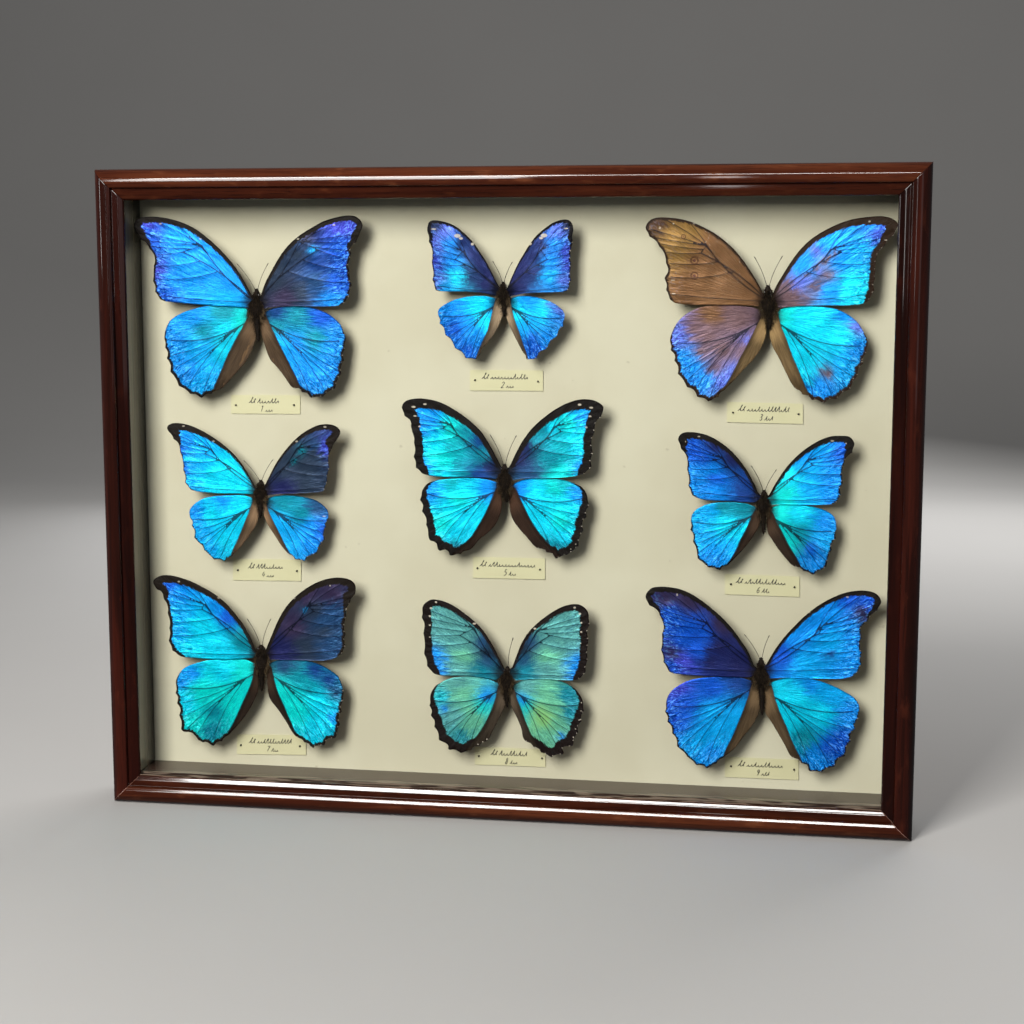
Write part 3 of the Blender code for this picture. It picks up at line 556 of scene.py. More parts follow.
# The nine butterflies, drawn over enlarged cuts of the picture. Each drawing has the corner of its
# cut, in picture pixels, and the enlargement. A wing has its leading edge, its rim and its trailing
# edge. L and R are the sides as seen, F and H fore and hind. A fold is where the blue ends. body runs
# down the spine, and horns has the tips of the antennae, left and right.
INSECTS = {
    1: dict(
        corner=(80, 150), zoom=4.9,
        LF=([(845, 715), (795, 625), (745, 552), (690, 490), (640, 442), (580, 396), (520, 362),
             (450, 339), (390, 328), (330, 327), (290, 337), (270, 362)],
            [(276, 395), (296, 425), (330, 460), (357, 495), (372, 550), (363, 603), (370, 665),
             (384, 712), (412, 738)],
            [(470, 746), (560, 755), (680, 765), (780, 770), (838, 778)]),
        LH=([(845, 790), (780, 768), (690, 760), (610, 766), (545, 782), (490, 803), (445, 833),
             (424, 870)],
            [(413, 915), (424, 975), (438, 1045), (460, 1110), (505, 1168), (555, 1196), (595, 1208),
             (640, 1190), (690, 1168)],
            [(745, 1110), (800, 1045), (835, 985), (855, 920), (862, 850)]),
        RF=([(885, 715), (905, 660), (935, 600), (975, 530), (1020, 470), (1075, 420), (1130, 385),
             (1190, 352), (1250, 332), (1310, 321), (1350, 325), (1378, 345), (1388, 372)],
            [(1376, 405), (1360, 440), (1330, 480), (1327, 530), (1316, 575), (1327, 630), (1328, 680),
             (1308, 735), (1285, 757)],
            [(1240, 765), (1150, 767), (1050, 765), (960, 768), (900, 778)]),
        RH=([(895, 795), (960, 772), (1040, 765), (1120, 770), (1190, 790), (1240, 820), (1275, 855),
             (1290, 890)],
            [(1302, 920), (1295, 965), (1290, 1015), (1283, 1060), (1270, 1110), (1255, 1150),
             (1225, 1182), (1195, 1200), (1155, 1213), (1115, 1200), (1075, 1172), (1035, 1162)],
            [(1000, 1115), (960, 1065), (925, 1025), (900, 960), (883, 900), (880, 840)]),
        folds=([(835, 800), (800, 860), (760, 930), (725, 1000), (695, 1070), (670, 1130), (650, 1175)],
               [(905, 815), (935, 870), (965, 930), (1000, 1000), (1035, 1070), (1065, 1130),
                (1085, 1180)]),
        body=((864, 703), (862, 765), (865, 830), (872, 940)),
        horns=((770, 555), (925, 553))),
    2: dict(
        corner=(380, 190), zoom=6.03,
        LF=([(718, 580), (690, 530), (650, 450), (610, 385), (570, 325), (530, 280), (480, 235),
             (430, 205), (370, 187), (320, 183), (296, 198)],
            [(288, 240), (300, 300), (314, 360), (320, 430), (322, 500), (326, 560), (335, 592),
             (352, 608)],
            [(420, 612), (520, 613), (620, 622), (705, 640)]),
        LH=([(710, 655), (640, 640), (560, 640), (500, 648), (440, 665), (390, 690), (358, 715)],
            [(349, 745), (362, 790), (385, 845), (420, 900), (460, 950), (500, 990), (535, 1017),
             (565, 1017), (598, 1000), (612, 960)],
            [(640, 930), (670, 890), (700, 845), (722, 795), (738, 745), (740, 690)]),
        RF=([(768, 590), (795, 525), (830, 450), (865, 390), (905, 325), (945, 275), (990, 235),
             (1040, 200), (1090, 181), (1135, 180), (1160, 203)],
            [(1167, 240), (1160, 300), (1157, 350), (1148, 420), (1150, 490), (1146, 560), (1140, 595),
             (1120, 612)],
            [(1050, 615), (960, 618), (870, 625), (785, 642)]),
        RH=([(775, 655), (830, 640), (900, 640), (960, 650), (1020, 670), (1065, 695), (1100, 725)],
            [(1113, 760), (1105, 805), (1080, 850), (1040, 905), (1000, 950), (960, 985), (925, 1020),
             (895, 1020), (868, 992), (850, 960)],
            [(820, 905), (790, 845), (770, 800), (757, 760), (756, 700)]),
        folds=([(700, 660), (680, 720), (665, 780), (650, 840), (628, 890), (605, 940), (575, 1012)],
               [(780, 670), (795, 730), (812, 790), (835, 850), (855, 910), (875, 965), (890, 1010)]),
        body=((742, 572), (740, 620), (745, 680), (748, 765)),
        horns=((680, 428), (800, 432))),
    3: dict(
        corner=(620, 190), zoom=4.75,
        LF=([(685, 500), (665, 460), (630, 400), (590, 340), (545, 285), (500, 243), (450, 205),
             (400, 178), (350, 155), (290, 138), (230, 131), (180, 131), (145, 143)],
            [(124, 172), (130, 198), (155, 230), (185, 258), (208, 300), (222, 340), (228, 380),
             (217, 415), (222, 460), (232, 505), (248, 527)],
            [(275, 539), (340, 545), (430, 546), (560, 547), (680, 555)]),
        LH=([(685, 575), (620, 557), (540, 547), (450, 547), (380, 558), (320, 585), (280, 620),
             (255, 660)],
            [(238, 710), (247, 760), (262, 800), (275, 850), (298, 905), (345, 950), (380, 985),
             (410, 995), (440, 998), (475, 968), (505, 940)],
            [(545, 900), (590, 850), (630, 810), (665, 760), (690, 700), (697, 640)]),
        RF=([(722, 500), (745, 450), (775, 400), (810, 345), (850, 290), (900, 240), (950, 205),
             (1000, 178), (1060, 152), (1120, 136), (1190, 127), (1250, 125), (1295, 138)],
            [(1320, 162), (1308, 195), (1280, 232), (1248, 268), (1225, 305), (1210, 345), (1216, 385),
             (1206, 425), (1206, 465), (1195, 500), (1172, 530)],
            [(1130, 543), (1050, 548), (960, 548), (860, 550), (740, 560)]),
        RH=([(735, 580), (790, 557), (870, 549), (950, 553), (1020, 563), (1080, 590), (1125, 625),
             (1155, 670)],
            [(1177, 720), (1168, 768), (1150, 820), (1128, 870), (1105, 922), (1070, 957), (1020, 990),
             (960, 1006), (930, 998), (890, 980), (855, 957), (822, 932)],
            [(790, 872), (755, 800), (725, 745), (710, 690), (712, 630)]),
        folds=([(680, 590), (645, 655), (605, 735), (570, 800), (535, 870), (500, 930), (470, 965)],
               [(745, 590), (765, 650), (790, 710), (815, 780), (845, 850), (870, 910), (900, 975)]),
        body=((703, 475), (705, 535), (708, 600), (708, 665)),
        horns=((637, 315), (773, 312))),
    4: dict(
        corner=(80, 400), zoom=4.9,
        LF=([(860, 425), (825, 365), (785, 300), (740, 250), (700, 215), (650, 180), (600, 150),
             (550, 127), (500, 114), (460, 113), (435, 125)],
            [(433, 145), (460, 180), (485, 215), (500, 260), (507, 310), (515, 350), (520, 390),
             (530, 420), (560, 443)],
            [(620, 452), (700, 458), (780, 458), (850, 462)]),
        LH=([(855, 485), (800, 468), (720, 468), (650, 473), (600, 485), (560, 510), (537, 540)],
            [(537, 570), (550, 600), (560, 650), (575, 695), (605, 720), (635, 765), (670, 780),
             (700, 787), (725, 775), (750, 758)],
            [(790, 715), (830, 660), (860, 610), (872, 560), (872, 520)]),
        RF=([(900, 430), (925, 380), (950, 330), (985, 275), (1025, 225), (1070, 180), (1120, 145),
             (1170, 123), (1220, 118), (1260, 130), (1278, 158)],
            [(1260, 195), (1235, 235), (1222, 280), (1220, 330), (1215, 380), (1205, 420), (1190, 447)],
            [(1120, 455), (1050, 458), (980, 460), (905, 468)]),
        RH=([(900, 490), (950, 472), (1020, 468), (1090, 475), (1150, 490), (1195, 520), (1215, 548)],
            [(1215, 580), (1200, 620), (1195, 670), (1175, 720), (1145, 755), (1120, 770), (1080, 788),
             (1045, 770), (1010, 745)],
            [(980, 710), (950, 665), (920, 620), (898, 570), (893, 525)]),
        folds=([(850, 490), (830, 540), (810, 590), (790, 640), (768, 690), (748, 735), (735, 765)],
               [(905, 505), (925, 555), (950, 605), (975, 655), (1000, 705), (1025, 750), (1035, 765)]),
        body=((885, 408), (883, 450), (882, 500), (883, 580)),
        horns=((803, 293), (948, 290))),
    5: dict(
        corner=(380, 380), zoom=6.03,
        LF=([(720, 500), (690, 440), (650, 370), (610, 310), (560, 260), (510, 220), (460, 185),
             (400, 150), (340, 125), (270, 112), (210, 112), (160, 125)],
            [(136, 155), (142, 190), (165, 225), (192, 260), (195, 310), (212, 360), (212, 410),
             (212, 470), (222, 520), (245, 550), (275, 568)],
            [(340, 580), (430, 585), (530, 587), (630, 590), (710, 600)]),
        LH=([(710, 620), (640, 600), (560, 592), (470, 592), (400, 597), (340, 605), (290, 622)],
            [(258, 660), (246, 710), (255, 760), (265, 810), (285, 870), (290, 940), (335, 985),
             (350, 1018), (400, 1030), (440, 1060), (480, 1045), (550, 1018)],
            [(590, 970), (640, 930), (685, 885), (715, 830), (730, 770), (730, 690)]),
        RF=([(790, 505), (825, 430), (865, 360), (910, 300), (960, 250), (1010, 210), (1060, 175),
             (1120, 143), (1180, 122), (1240, 115), (1300, 125)],
            [(1345, 155), (1345, 195), (1320, 230), (1300, 270), (1290, 310), (1280, 360), (1280, 420),
             (1275, 480), (1270, 525), (1248, 550), (1215, 570)],
            [(1140, 583), (1050, 590), (950, 592), (860, 595), (800, 605)]),
        RH=([(805, 625), (870, 600), (950, 593), (1040, 595), (1120, 605), (1180, 628), (1220, 650)],
            [(1245, 690), (1255, 740), (1245, 800), (1225, 860), (1215, 920), (1200, 975), (1165, 1035),
             (1120, 1050), (1075, 1075), (1030, 1050), (985, 1025), (935, 1010)],
            [(890, 960), (840, 905), (800, 850), (780, 790), (775, 700)]),
        folds=([(705, 650), (680, 700), (650, 770), (620, 830), (585, 890), (545, 950), (460, 1030)],
               [(810, 650), (840, 710), (870, 770), (905, 840), (950, 910), (995, 965), (1040, 1015)]),
        body=((750, 530), (752, 590), (755, 680), (765, 740)),
        horns=((663, 325), (825, 332))),
    6: dict(
        corner=(620, 410), zoom=4.75,
        LF=([(655, 390), (635, 345), (605, 290), (570, 240), (530, 195), (485, 158), (440, 130),
             (395, 113), (340, 104), (300, 108)],
            [(278, 130), (283, 160), (305, 200), (320, 240), (325, 290), (328, 340), (335, 385),
             (355, 410)],
            [(400, 425), (470, 430), (550, 435), (640, 440)]),
        LH=([(645, 462), (590, 443), (510, 438), (440, 443), (385, 460), (350, 485)],
            [(337, 520), (342, 580), (352, 620), (365, 680), (395, 730), (430, 745), (460, 757),
             (495, 745), (520, 730)],
            [(560, 690), (605, 640), (640, 590), (662, 545), (668, 500)]),
        RF=([(710, 400), (735, 355), (770, 300), (805, 255), (850, 210), (895, 175), (945, 145),
             (1000, 125), (1050, 122), (1090, 127)],
            [(1112, 155), (1105, 190), (1075, 230), (1057, 265), (1057, 320), (1048, 370), (1040, 420),
             (1015, 443)],
            [(950, 450), (870, 450), (790, 448), (715, 450)]),
        RH=([(715, 465), (770, 448), (850, 450), (920, 460), (980, 480), (1018, 510)],
            [(1028, 560), (1020, 610), (1000, 660), (992, 705), (965, 755), (930, 772), (900, 778),
             (865, 755), (820, 740)],
            [(790, 710), (750, 660), (720, 615), (700, 580), (697, 520)]),
        folds=([(640, 480), (620, 520), (595, 575), (570, 620), (548, 670), (525, 710), (505, 740)],
               [(720, 485), (745, 535), (775, 590), (800, 640), (830, 690), (850, 725), (860, 745)]),
        body=((684, 397), (683, 440), (682, 500), (682, 590)),
        horns=((622, 262), (745, 281))),
    7: dict(
        corner=(80, 560), zoom=4.9,
        LF=([(862, 440), (835, 375), (800, 315), (760, 260), (715, 210), (660, 165), (600, 130),
             (540, 100), (480, 80), (430, 72), (390, 78)],
            [(364, 100), (372, 130), (402, 155), (430, 220), (438, 260), (445, 330), (442, 380),
             (450, 420), (470, 450), (505, 472)],
            [(570, 478), (650, 485), (740, 487), (845, 480)]),
        LH=([(855, 510), (800, 488), (720, 486), (640, 490), (560, 508), (510, 530), (485, 560)],
            [(470, 600), (478, 680), (490, 740), (505, 835), (560, 850), (575, 882), (610, 890),
             (650, 906), (690, 885), (735, 850)],
            [(780, 800), (820, 745), (850, 690), (868, 640), (872, 570)]),
        RF=([(910, 440), (935, 380), (965, 310), (1000, 245), (1045, 190), (1100, 145), (1160, 110),
             (1220, 90), (1280, 85), (1330, 97), (1352, 125)],
            [(1350, 165), (1325, 200), (1308, 250), (1300, 310), (1300, 370), (1297, 430), (1275, 465)],
            [(1220, 488), (1150, 492), (1050, 490), (980, 488), (915, 488)]),
        RH=([(920, 510), (980, 490), (1060, 490), (1130, 498), (1190, 520), (1240, 550), (1270, 580)],
            [(1290, 640), (1285, 700), (1270, 770), (1260, 855), (1215, 880), (1190, 905), (1135, 915),
             (1100, 890), (1050, 860)],
            [(1010, 800), (970, 740), (930, 690), (915, 640), (912, 570)]),
        folds=([(855, 525), (845, 580), (825, 635), (800, 690), (775, 745), (750, 800), (720, 850)],
               [(930, 520), (945, 570), (965, 640), (995, 710), (1025, 780), (1060, 850), (1090, 885)]),
        body=((888, 430), (890, 470), (890, 560), (888, 645)),
        horns=((820, 285), (938, 285))),
    8: dict(
        corner=(380, 570), zoom=6.03,
        LF=([(745, 580), (700, 490), (660, 420), (615, 355), (565, 305), (510, 260), (455, 220),
             (400, 192), (345, 177), (300, 180)],
            [(262, 215), (258, 270), (268, 330), (270, 400), (270, 450), (275, 510), (290, 570),
             (310, 605), (345, 628)],
            [(420, 637), (500, 637), (590, 645), (700, 665)]),
        LH=([(700, 680), (640, 655), (560, 642), (480, 645), (420, 655), (365, 680), (330, 705)],
            [(303, 760), (308, 850), (330, 930), (362, 1020), (410, 1060), (425, 1080), (510, 1100),
             (550, 1080), (600, 1055), (650, 1025)],
            [(680, 970), (710, 910), (740, 850), (760, 800), (765, 730)]),
        RF=([(800, 580), (830, 500), (860, 430), (900, 370), (950, 320), (1000, 280), (1060, 240),
             (1120, 213), (1180, 204), (1225, 217)],
            [(1256, 255), (1262, 320), (1252, 380), (1255, 450), (1250, 530), (1240, 600), (1220, 640),
             (1185, 660)],
            [(1110, 662), (1020, 657), (930, 655), (820, 665)]),
        RH=([(810, 690), (870, 662), (950, 655), (1030, 660), (1100, 675), (1160, 705), (1195, 740)],
            [(1222, 790), (1225, 850), (1205, 920), (1190, 970), (1160, 1050), (1105, 1075), (1095, 1110),
             (1020, 1123), (975, 1100), (920, 1060), (865, 1025)],
            [(850, 960), (820, 890), (795, 840), (780, 790), (778, 730)]),
        folds=([(715, 700), (700, 760), (680, 820), (655, 880), (625, 940), (585, 1000), (540, 1060)],
               [(805, 720), (825, 780), (850, 840), (870, 900), (895, 960), (925, 1020), (950, 1060)]),
        body=((767, 600), (762, 650), (762, 740), (765, 830)),
        horns=(None, (805, 405))),
    9: dict(
        corner=(620, 570), zoom=4.75,
        LF=([(635, 450), (610, 390), (575, 335), (535, 280), (490, 230), (440, 185), (390, 145),
             (335, 110), (280, 88), (220, 78), (180, 78), (150, 85)],
            [(124, 115), (132, 150), (165, 180), (190, 205), (202, 245), (208, 280), (200, 330),
             (200, 380), (210, 430), (225, 465), (245, 485)],
            [(300, 495), (400, 502), (500, 507), (620, 510)]),
        LH=([(630, 530), (570, 512), (490, 507), (400, 512), (330, 525), (280, 548), (240, 580)],
            [(220, 625), (222, 690), (250, 765), (285, 850), (320, 880), (350, 915), (420, 937),
             (455, 915), (500, 885)],
            [(545, 850), (590, 790), (630, 740), (660, 680), (668, 620), (668, 560)]),
        RF=([(700, 440), (735, 380), (775, 325), (820, 275), (870, 225), (925, 180), (980, 145),
             (1040, 117), (1100, 100), (1160, 96), (1215, 110)],
            [(1240, 145), (1225, 180), (1180, 230), (1148, 270), (1143, 310), (1142, 360), (1145, 410),
             (1140, 460), (1115, 495)],
            [(1060, 513), (980, 515), (880, 513), (790, 510), (715, 515)]),
        RH=([(715, 535), (780, 515), (860, 512), (940, 525), (1010, 550), (1070, 580), (1115, 610)],
            [(1137, 650), (1130, 700), (1100, 780), (1070, 870), (1045, 895), (1000, 940), (920, 960),
             (885, 930), (850, 905), (810, 885)],
            [(780, 830), (745, 770), (715, 720), (690, 680), (688, 610)]),
        folds=([(630, 540), (610, 600), (585, 670), (560, 730), (535, 790), (505, 850), (485, 900)],
               [(715, 550), (735, 610), (760, 680), (790, 745), (815, 810), (845, 870), (865, 910)]),
        body=((670, 440), (670, 500), (672, 560), (675, 690)),
        horns=((590, 303), (710, 308))),
}

# Wing colours by name, in 0 to 255.
PALETTE = {
    "azure": (0, 146, 246), "sky": (0, 176, 255), "cyan": (0, 222, 255), "turquoise": (0, 230, 222),
    "teal": (0, 140, 160), "royal": (12, 88, 214), "deep": (18, 60, 136), "indigo": (30, 34, 86),
    "violet": (66, 70, 200), "lilac": (104, 122, 232), "slate": (40, 54, 74), "steel": (36, 74, 120),
    "ink": (20, 24, 42), "brown": (116, 82, 52), "mauve": (106, 81, 84), "ochre": (132, 100, 52),
    "umber": (76, 54, 42), "sea": (98, 176, 172), "green": (112, 200, 160), "lime": (150, 212, 126),
    "plum": (56, 46, 76), "lagoon": (0, 172, 186),
}

# What each wing wears. cell: the two outer corners of the closed cell. paint: soft patches of a
# named colour. spots: pale spots with their half width and half height, a few of them painted
# highlights. All are places in the cut.
# edge: widths in mm of the dark border at the lead, the tip, the rim and the inner corner.
LOOKS = {
    1: dict(
        border=(38, 26, 18), fold=(96, 76, 56), crease=1.1, dim=0.8,
        LF=dict(
            edge=(2.6, 4.6, 1.3, 1.0), cell=((600, 468), (505, 500)),
            spots=[(398, 362, 9, 5), (592, 436, 8, 5)],
            paint=dict(
                azure=[(720, 640), (620, 540), (520, 560), (450, 640), (470, 420), (570, 660)],
                royal=[(350, 420), (420, 695)], violet=[(332, 352), (380, 600)], sky=[(700, 745)])),
        RF=dict(
            edge=(2.4, 4.2, 1.3, 1.0), cell=((1075, 450), (1170, 490)),
            spots=[(1247, 368, 9, 6), (1070, 436, 8, 6)],
            paint=dict(
                slate=[(960, 650), (960, 560), (1060, 500), (1080, 700)], plum=[(1090, 410), (1000, 720)],
                royal=[(1280, 480), (1300, 600), (1270, 660)], deep=[(1180, 560)],
                steel=[(1160, 640), (1060, 440)], violet=[(1290, 370)], azure=[(1250, 742)],
                sky=[(1140, 490, 0.28)])),
        LH=dict(
            edge=(0.5, 1.4, 1.9, 2.2),
            paint=dict(
                azure=[(560, 800), (480, 900), (520, 1080)], cyan=[(720, 880), (700, 960)],
                turquoise=[(790, 850)], sky=[(600, 960), (620, 1130)], teal=[(600, 900), (700, 790)])),
        RH=dict(
            edge=(0.5, 1.4, 1.9, 2.2),
            paint=dict(
                deep=[(960, 800)], teal=[(1060, 820), (1150, 920), (960, 860)], royal=[(1180, 820)],
                azure=[(1250, 950), (1050, 960), (1120, 1120), (1220, 1080)], sky=[(1000, 950)]))),
    2: dict(
        border=(22, 16, 28), fold=(150, 130, 105), crease=1.9, pale=0.9,
        LF=dict(
            edge=(1.0, 2.6, 0.7, 0.4), cell=((500, 370), (455, 420)),
            spots=[(468, 276, 27, 15), (490, 292, 16, 10), (558, 326, 13, 11), (325, 236, 22, 5)],
            paint=dict(
                indigo=[(600, 450), (560, 390), (640, 560), (500, 320), (545, 520), (655, 500)],
                azure=[(430, 440), (420, 320)], cyan=[(460, 530)], sky=[(400, 590)],
                lilac=[(340, 300), (335, 560), (395, 245)], violet=[(335, 450)], ink=[(318, 214)])),
        RF=dict(
            edge=(1.0, 2.6, 0.7, 0.4), cell=((970, 360), (1010, 420)),
            spots=[(990, 274, 26, 15), (972, 290, 15, 9), (906, 325, 13, 11), (1122, 232, 18, 5)],
            paint=dict(
                indigo=[(870, 460), (915, 400), (830, 560), (965, 330), (925, 500), (815, 520)],
                azure=[(1050, 430), (1080, 590), (1060, 320)], sky=[(1030, 520)],
                lilac=[(1080, 250), (1120, 560)], violet=[(1130, 370), (1130, 450)], ink=[(1140, 200)])),
        LH=dict(
            edge=(0.2, 0.2, 0.2, 1.4),
            paint=dict(
                azure=[(450, 700), (520, 820), (560, 920), (400, 740), (600, 860)],
                cyan=[(600, 720), (640, 800)], royal=[(450, 835), (540, 965)], sky=[(690, 740)])),
        RH=dict(
            edge=(0.2, 0.2, 0.2, 1.4),
            paint=dict(
                azure=[(900, 680), (1050, 760), (1000, 900)], cyan=[(830, 740), (980, 740)],
                sky=[(930, 800), (870, 830)], royal=[(905, 890), (940, 965)], lilac=[(1075, 722)]))),
    3: dict(
        border=(84, 56, 36), fold=(142, 116, 78), crease=1.5,
        LF=dict(
            edge=(1.6, 1.6, 1.4, 0.6), calm=0.25, cell=((410, 265), (385, 300)),
            # The last two spots are painted highlights on creases by the rim.
            spots=[(190, 180, 7, 8), (255, 160, 6, 5), (352, 160, 8, 4), (252, 428, 15, 4),
                   (256, 492, 13, 4)],
            rings=[(302, 222, 12), (354, 335, 20), (354, 407, 19)],
            paint=dict(
                brown=[(600, 440), (420, 330), (330, 470), (560, 510), (430, 230), (460, 520)],
                ochre=[(250, 280), (235, 205), (320, 190)], umber=[(180, 160)])),
        RF=dict(
            edge=(2.8, 6.4, 3.2, 1.6), cell=((1010, 278), (1048, 298)),
            spots=[(1185, 150, 7, 6), (1262, 238, 8, 4), (1238, 284, 7, 4)],
            paint=dict(
                mauve=[(790, 480), (985, 410, 0.7), (820, 520), (930, 455, 0.6)],
                azure=[(880, 370), (1020, 250), (1200, 170), (1000, 470), (1060, 340)],
                lilac=[(930, 290, 0.4), (850, 440, 0.6), (905, 428, 0.22), (955, 388, 0.22)],
                sky=[(1150, 300)], cyan=[(1100, 450), (1120, 515)],
                brown=[(1020, 300, 0.35), (975, 335, 0.35), (930, 370, 0.35), (880, 405, 0.35)],
                violet=[(1220, 200)])),
        LH=dict(
            edge=(0.5, 1.6, 1.9, 1.6),
            paint=dict(
                mauve=[(560, 620), (410, 700), (600, 740), (450, 850), (480, 760), (350, 660),
                       (395, 765, 0.7)], brown=[(430, 590)],
                lilac=[(270, 700), (490, 900), (600, 720, 0.5)],
                azure=[(290, 800), (400, 900), (350, 850)])),
        RH=dict(
            edge=(1.4, 1.8, 2.0, 1.6),
            spots=[(1150, 815, 5, 3), (1108, 895, 5, 3)],
            paint=dict(
                cyan=[(870, 620), (950, 680), (890, 760), (860, 850), (1060, 700)],
                azure=[(1130, 760), (960, 950), (1065, 600, 0.6)], sky=[(1060, 850)],
                mauve=[(985, 870, 0.5)], lilac=[(1130, 650, 0.7)], turquoise=[(780, 590)]))),
    4: dict(
        border=(46, 32, 22), fold=(122, 98, 74), crease=0.7,
        LF=dict(
            edge=(1.8, 6.6, 0.5, 0.5), cell=((640, 240), (615, 262)),
            spots=[(510, 127, 9, 5), (657, 201, 8, 6)],
            paint=dict(
                cyan=[(640, 400), (720, 350), (780, 410)], sky=[(560, 300), (600, 200), (560, 420)],
                azure=[(525, 215)], royal=[(508, 330, 0.6), (508, 240, 0.6)])),
        RF=dict(
            edge=(1.4, 5.6, 0.4, 0.4), cell=((1065, 235), (1100, 260)),
            spots=[(1202, 131, 10, 6), (1063, 202, 9, 6)],
            paint=dict(
                slate=[(1000, 350), (1100, 330), (1150, 270), (1100, 420), (980, 280)],
                indigo=[(1000, 430)], violet=[(1205, 235, 0.5)],
                teal=[(1090, 252, 0.3), (1050, 300, 0.2)], steel=[(1150, 232, 0.5)])),
        LH=dict(
            edge=(0.3, 0.5, 0.6, 0.8),
            paint=dict(
                cyan=[(760, 520), (640, 560), (700, 700), (800, 560)], azure=[(570, 560), (700, 490)],
                sky=[(590, 640), (640, 720)])),
        RH=dict(
            edge=(0.3, 0.5, 0.6, 0.8),
            spots=[(1196, 570, 12, 4)],
            paint=dict(
                teal=[(1000, 520), (1080, 560)], azure=[(1140, 620), (1110, 700)], royal=[(1185, 640)],
                sky=[(1050, 700), (980, 600)], steel=[(1160, 535)]))),
    5: dict(
        border=(30, 18, 12), fold=(62, 42, 30), crease=0.8, pale=0.9,
        LF=dict(
            edge=(4.0, 8.0, 5.2, 4.0), cell=((420, 265), (380, 290)),
            spots=[(205, 161, 17, 8), (273, 145, 14, 7), (213, 216, 13, 6), (240, 279, 10, 7)],
            paint=dict(
                teal=[(610, 440), (470, 530), (500, 320)], lagoon=[(450, 400)],
                azure=[(300, 230), (265, 300), (262, 520)], cyan=[(320, 380), (390, 560)],
                turquoise=[(330, 450), (430, 300), (380, 500)], deep=[(600, 370), (600, 570)],
                indigo=[(660, 520)])),
        RF=dict(
            edge=(4.0, 8.0, 5.2, 4.0), cell=((1060, 280), (1095, 310)),
            spots=[(1205, 148, 15, 8), (1275, 166, 15, 8), (1268, 218, 12, 6), (1246, 284, 9, 7)],
            paint=dict(
                indigo=[(850, 480), (880, 400)], teal=[(960, 330), (1050, 480)],
                cyan=[(1040, 285, 0.5), (1200, 330), (1220, 420)], azure=[(1210, 230), (1220, 510)],
                lagoon=[(1100, 400), (1150, 480)], steel=[(900, 560)],
                turquoise=[(1100, 560), (1150, 260)])),
        LH=dict(
            edge=(1.0, 4.4, 4.6, 4.2),
            paint=dict(
                azure=[(650, 655), (310, 680)],
                cyan=[(500, 650), (400, 760), (500, 820), (450, 920), (560, 800)],
                turquoise=[(380, 860), (480, 720)], teal=[(440, 1005)], lagoon=[(440, 610)])),
        RH=dict(
            edge=(1.0, 4.4, 4.6, 4.2),
            spots=[(1245, 830, 5, 3), (1232, 880, 5, 3), (1215, 930, 5, 4), (1150, 1020, 6, 3),
                   (1180, 990, 5, 4)],
            paint=dict(
                azure=[(850, 660), (1190, 700)],
                cyan=[(950, 700), (1000, 860), (1150, 760), (920, 800), (1100, 940)],
                turquoise=[(1050, 640), (1080, 850)], teal=[(1080, 1010)], lagoon=[(1090, 620)]))),
    6: dict(
        border=(30, 20, 14), fold=(60, 44, 32), crease=0.8,
        LF=dict(
            edge=(2.2, 5.2, 0.9, 0.7), cell=((485, 228), (452, 240)),
            spots=[(375, 125, 9, 5), (312, 150, 4, 5)],
            paint=dict(
                indigo=[(530, 230), (450, 165)], deep=[(600, 350), (590, 405)],
                royal=[(400, 230), (450, 330), (350, 190)],
                azure=[(360, 300), (350, 390), (450, 380), (430, 290)])),
        RF=dict(
            edge=(2.2, 5.2, 0.9, 0.7), cell=((890, 240), (917, 262)),
            spots=[(1008, 146, 11, 5), (1074, 158, 5, 5)],
            paint=dict(
                cyan=[(800, 310)], turquoise=[(790, 395)], sky=[(900, 270), (900, 380), (950, 170)],
                azure=[(980, 200), (1000, 330), (1020, 420), (870, 220)], royal=[(1040, 200)])),
        LH=dict(
            edge=(0.6, 0.9, 1.0, 1.0),
            paint=dict(
                sky=[(420, 480), (510, 660), (400, 600)], cyan=[(500, 540), (590, 580)],
                teal=[(580, 480), (500, 470)], azure=[(450, 700)])),
        RH=dict(
            edge=(0.6, 0.9, 1.0, 1.0),
            paint=dict(
                turquoise=[(760, 480), (765, 570), (810, 640)], cyan=[(850, 510)],
                azure=[(970, 540), (910, 735)], teal=[(860, 640), (850, 570)], sky=[(960, 620)],
                royal=[(905, 660)]))),
    7: dict(
        border=(46, 32, 20), fold=(52, 38, 28), crease=0.9,
        LF=dict(
            edge=(3.0, 6.0, 1.9, 1.6), cell=((612, 215), (600, 240)),
            spots=[(683, 184, 11, 6), (488, 104, 8, 5)],
            paint=dict(
                azure=[(490, 160), (680, 230)], royal=[(450, 108), (720, 280, 0.8)],
                sky=[(520, 250), (490, 350)], cyan=[(600, 330, 1.3), (560, 430), (700, 450), (620, 390)],
                teal=[(790, 390)])),
        RF=dict(
            edge=(3.0, 5.6, 1.9, 1.4), cell=((1120, 225), (1148, 250)),
            spots=[(1050, 186, 9, 6), (1228, 124, 5, 5), (1308, 238, 5, 4)],
            paint=dict(
                plum=[(1050, 330), (1120, 170), (1240, 160)],
                slate=[(1150, 250), (1200, 350), (1100, 420)], indigo=[(1000, 440)],
                steel=[(1245, 260), (1230, 400), (1200, 300)], sky=[(1108, 240, 0.16)])),
        LH=dict(
            edge=(0.8, 1.6, 1.9, 1.8),
            paint=dict(
                turquoise=[(780, 560), (600, 650, 1.3), (760, 700, 1.2), (700, 640), (560, 790)],
                azure=[(550, 560, 0.7), (500, 600, 0.6)], cyan=[(520, 700), (700, 560)],
                teal=[(660, 740, 0.8), (640, 830, 0.7)])),
        RH=dict(
            edge=(0.8, 1.6, 1.9, 1.8),
            spots=[(1288, 640, 4, 4), (1282, 690, 4, 4), (1270, 740, 4, 4)],
            paint=dict(
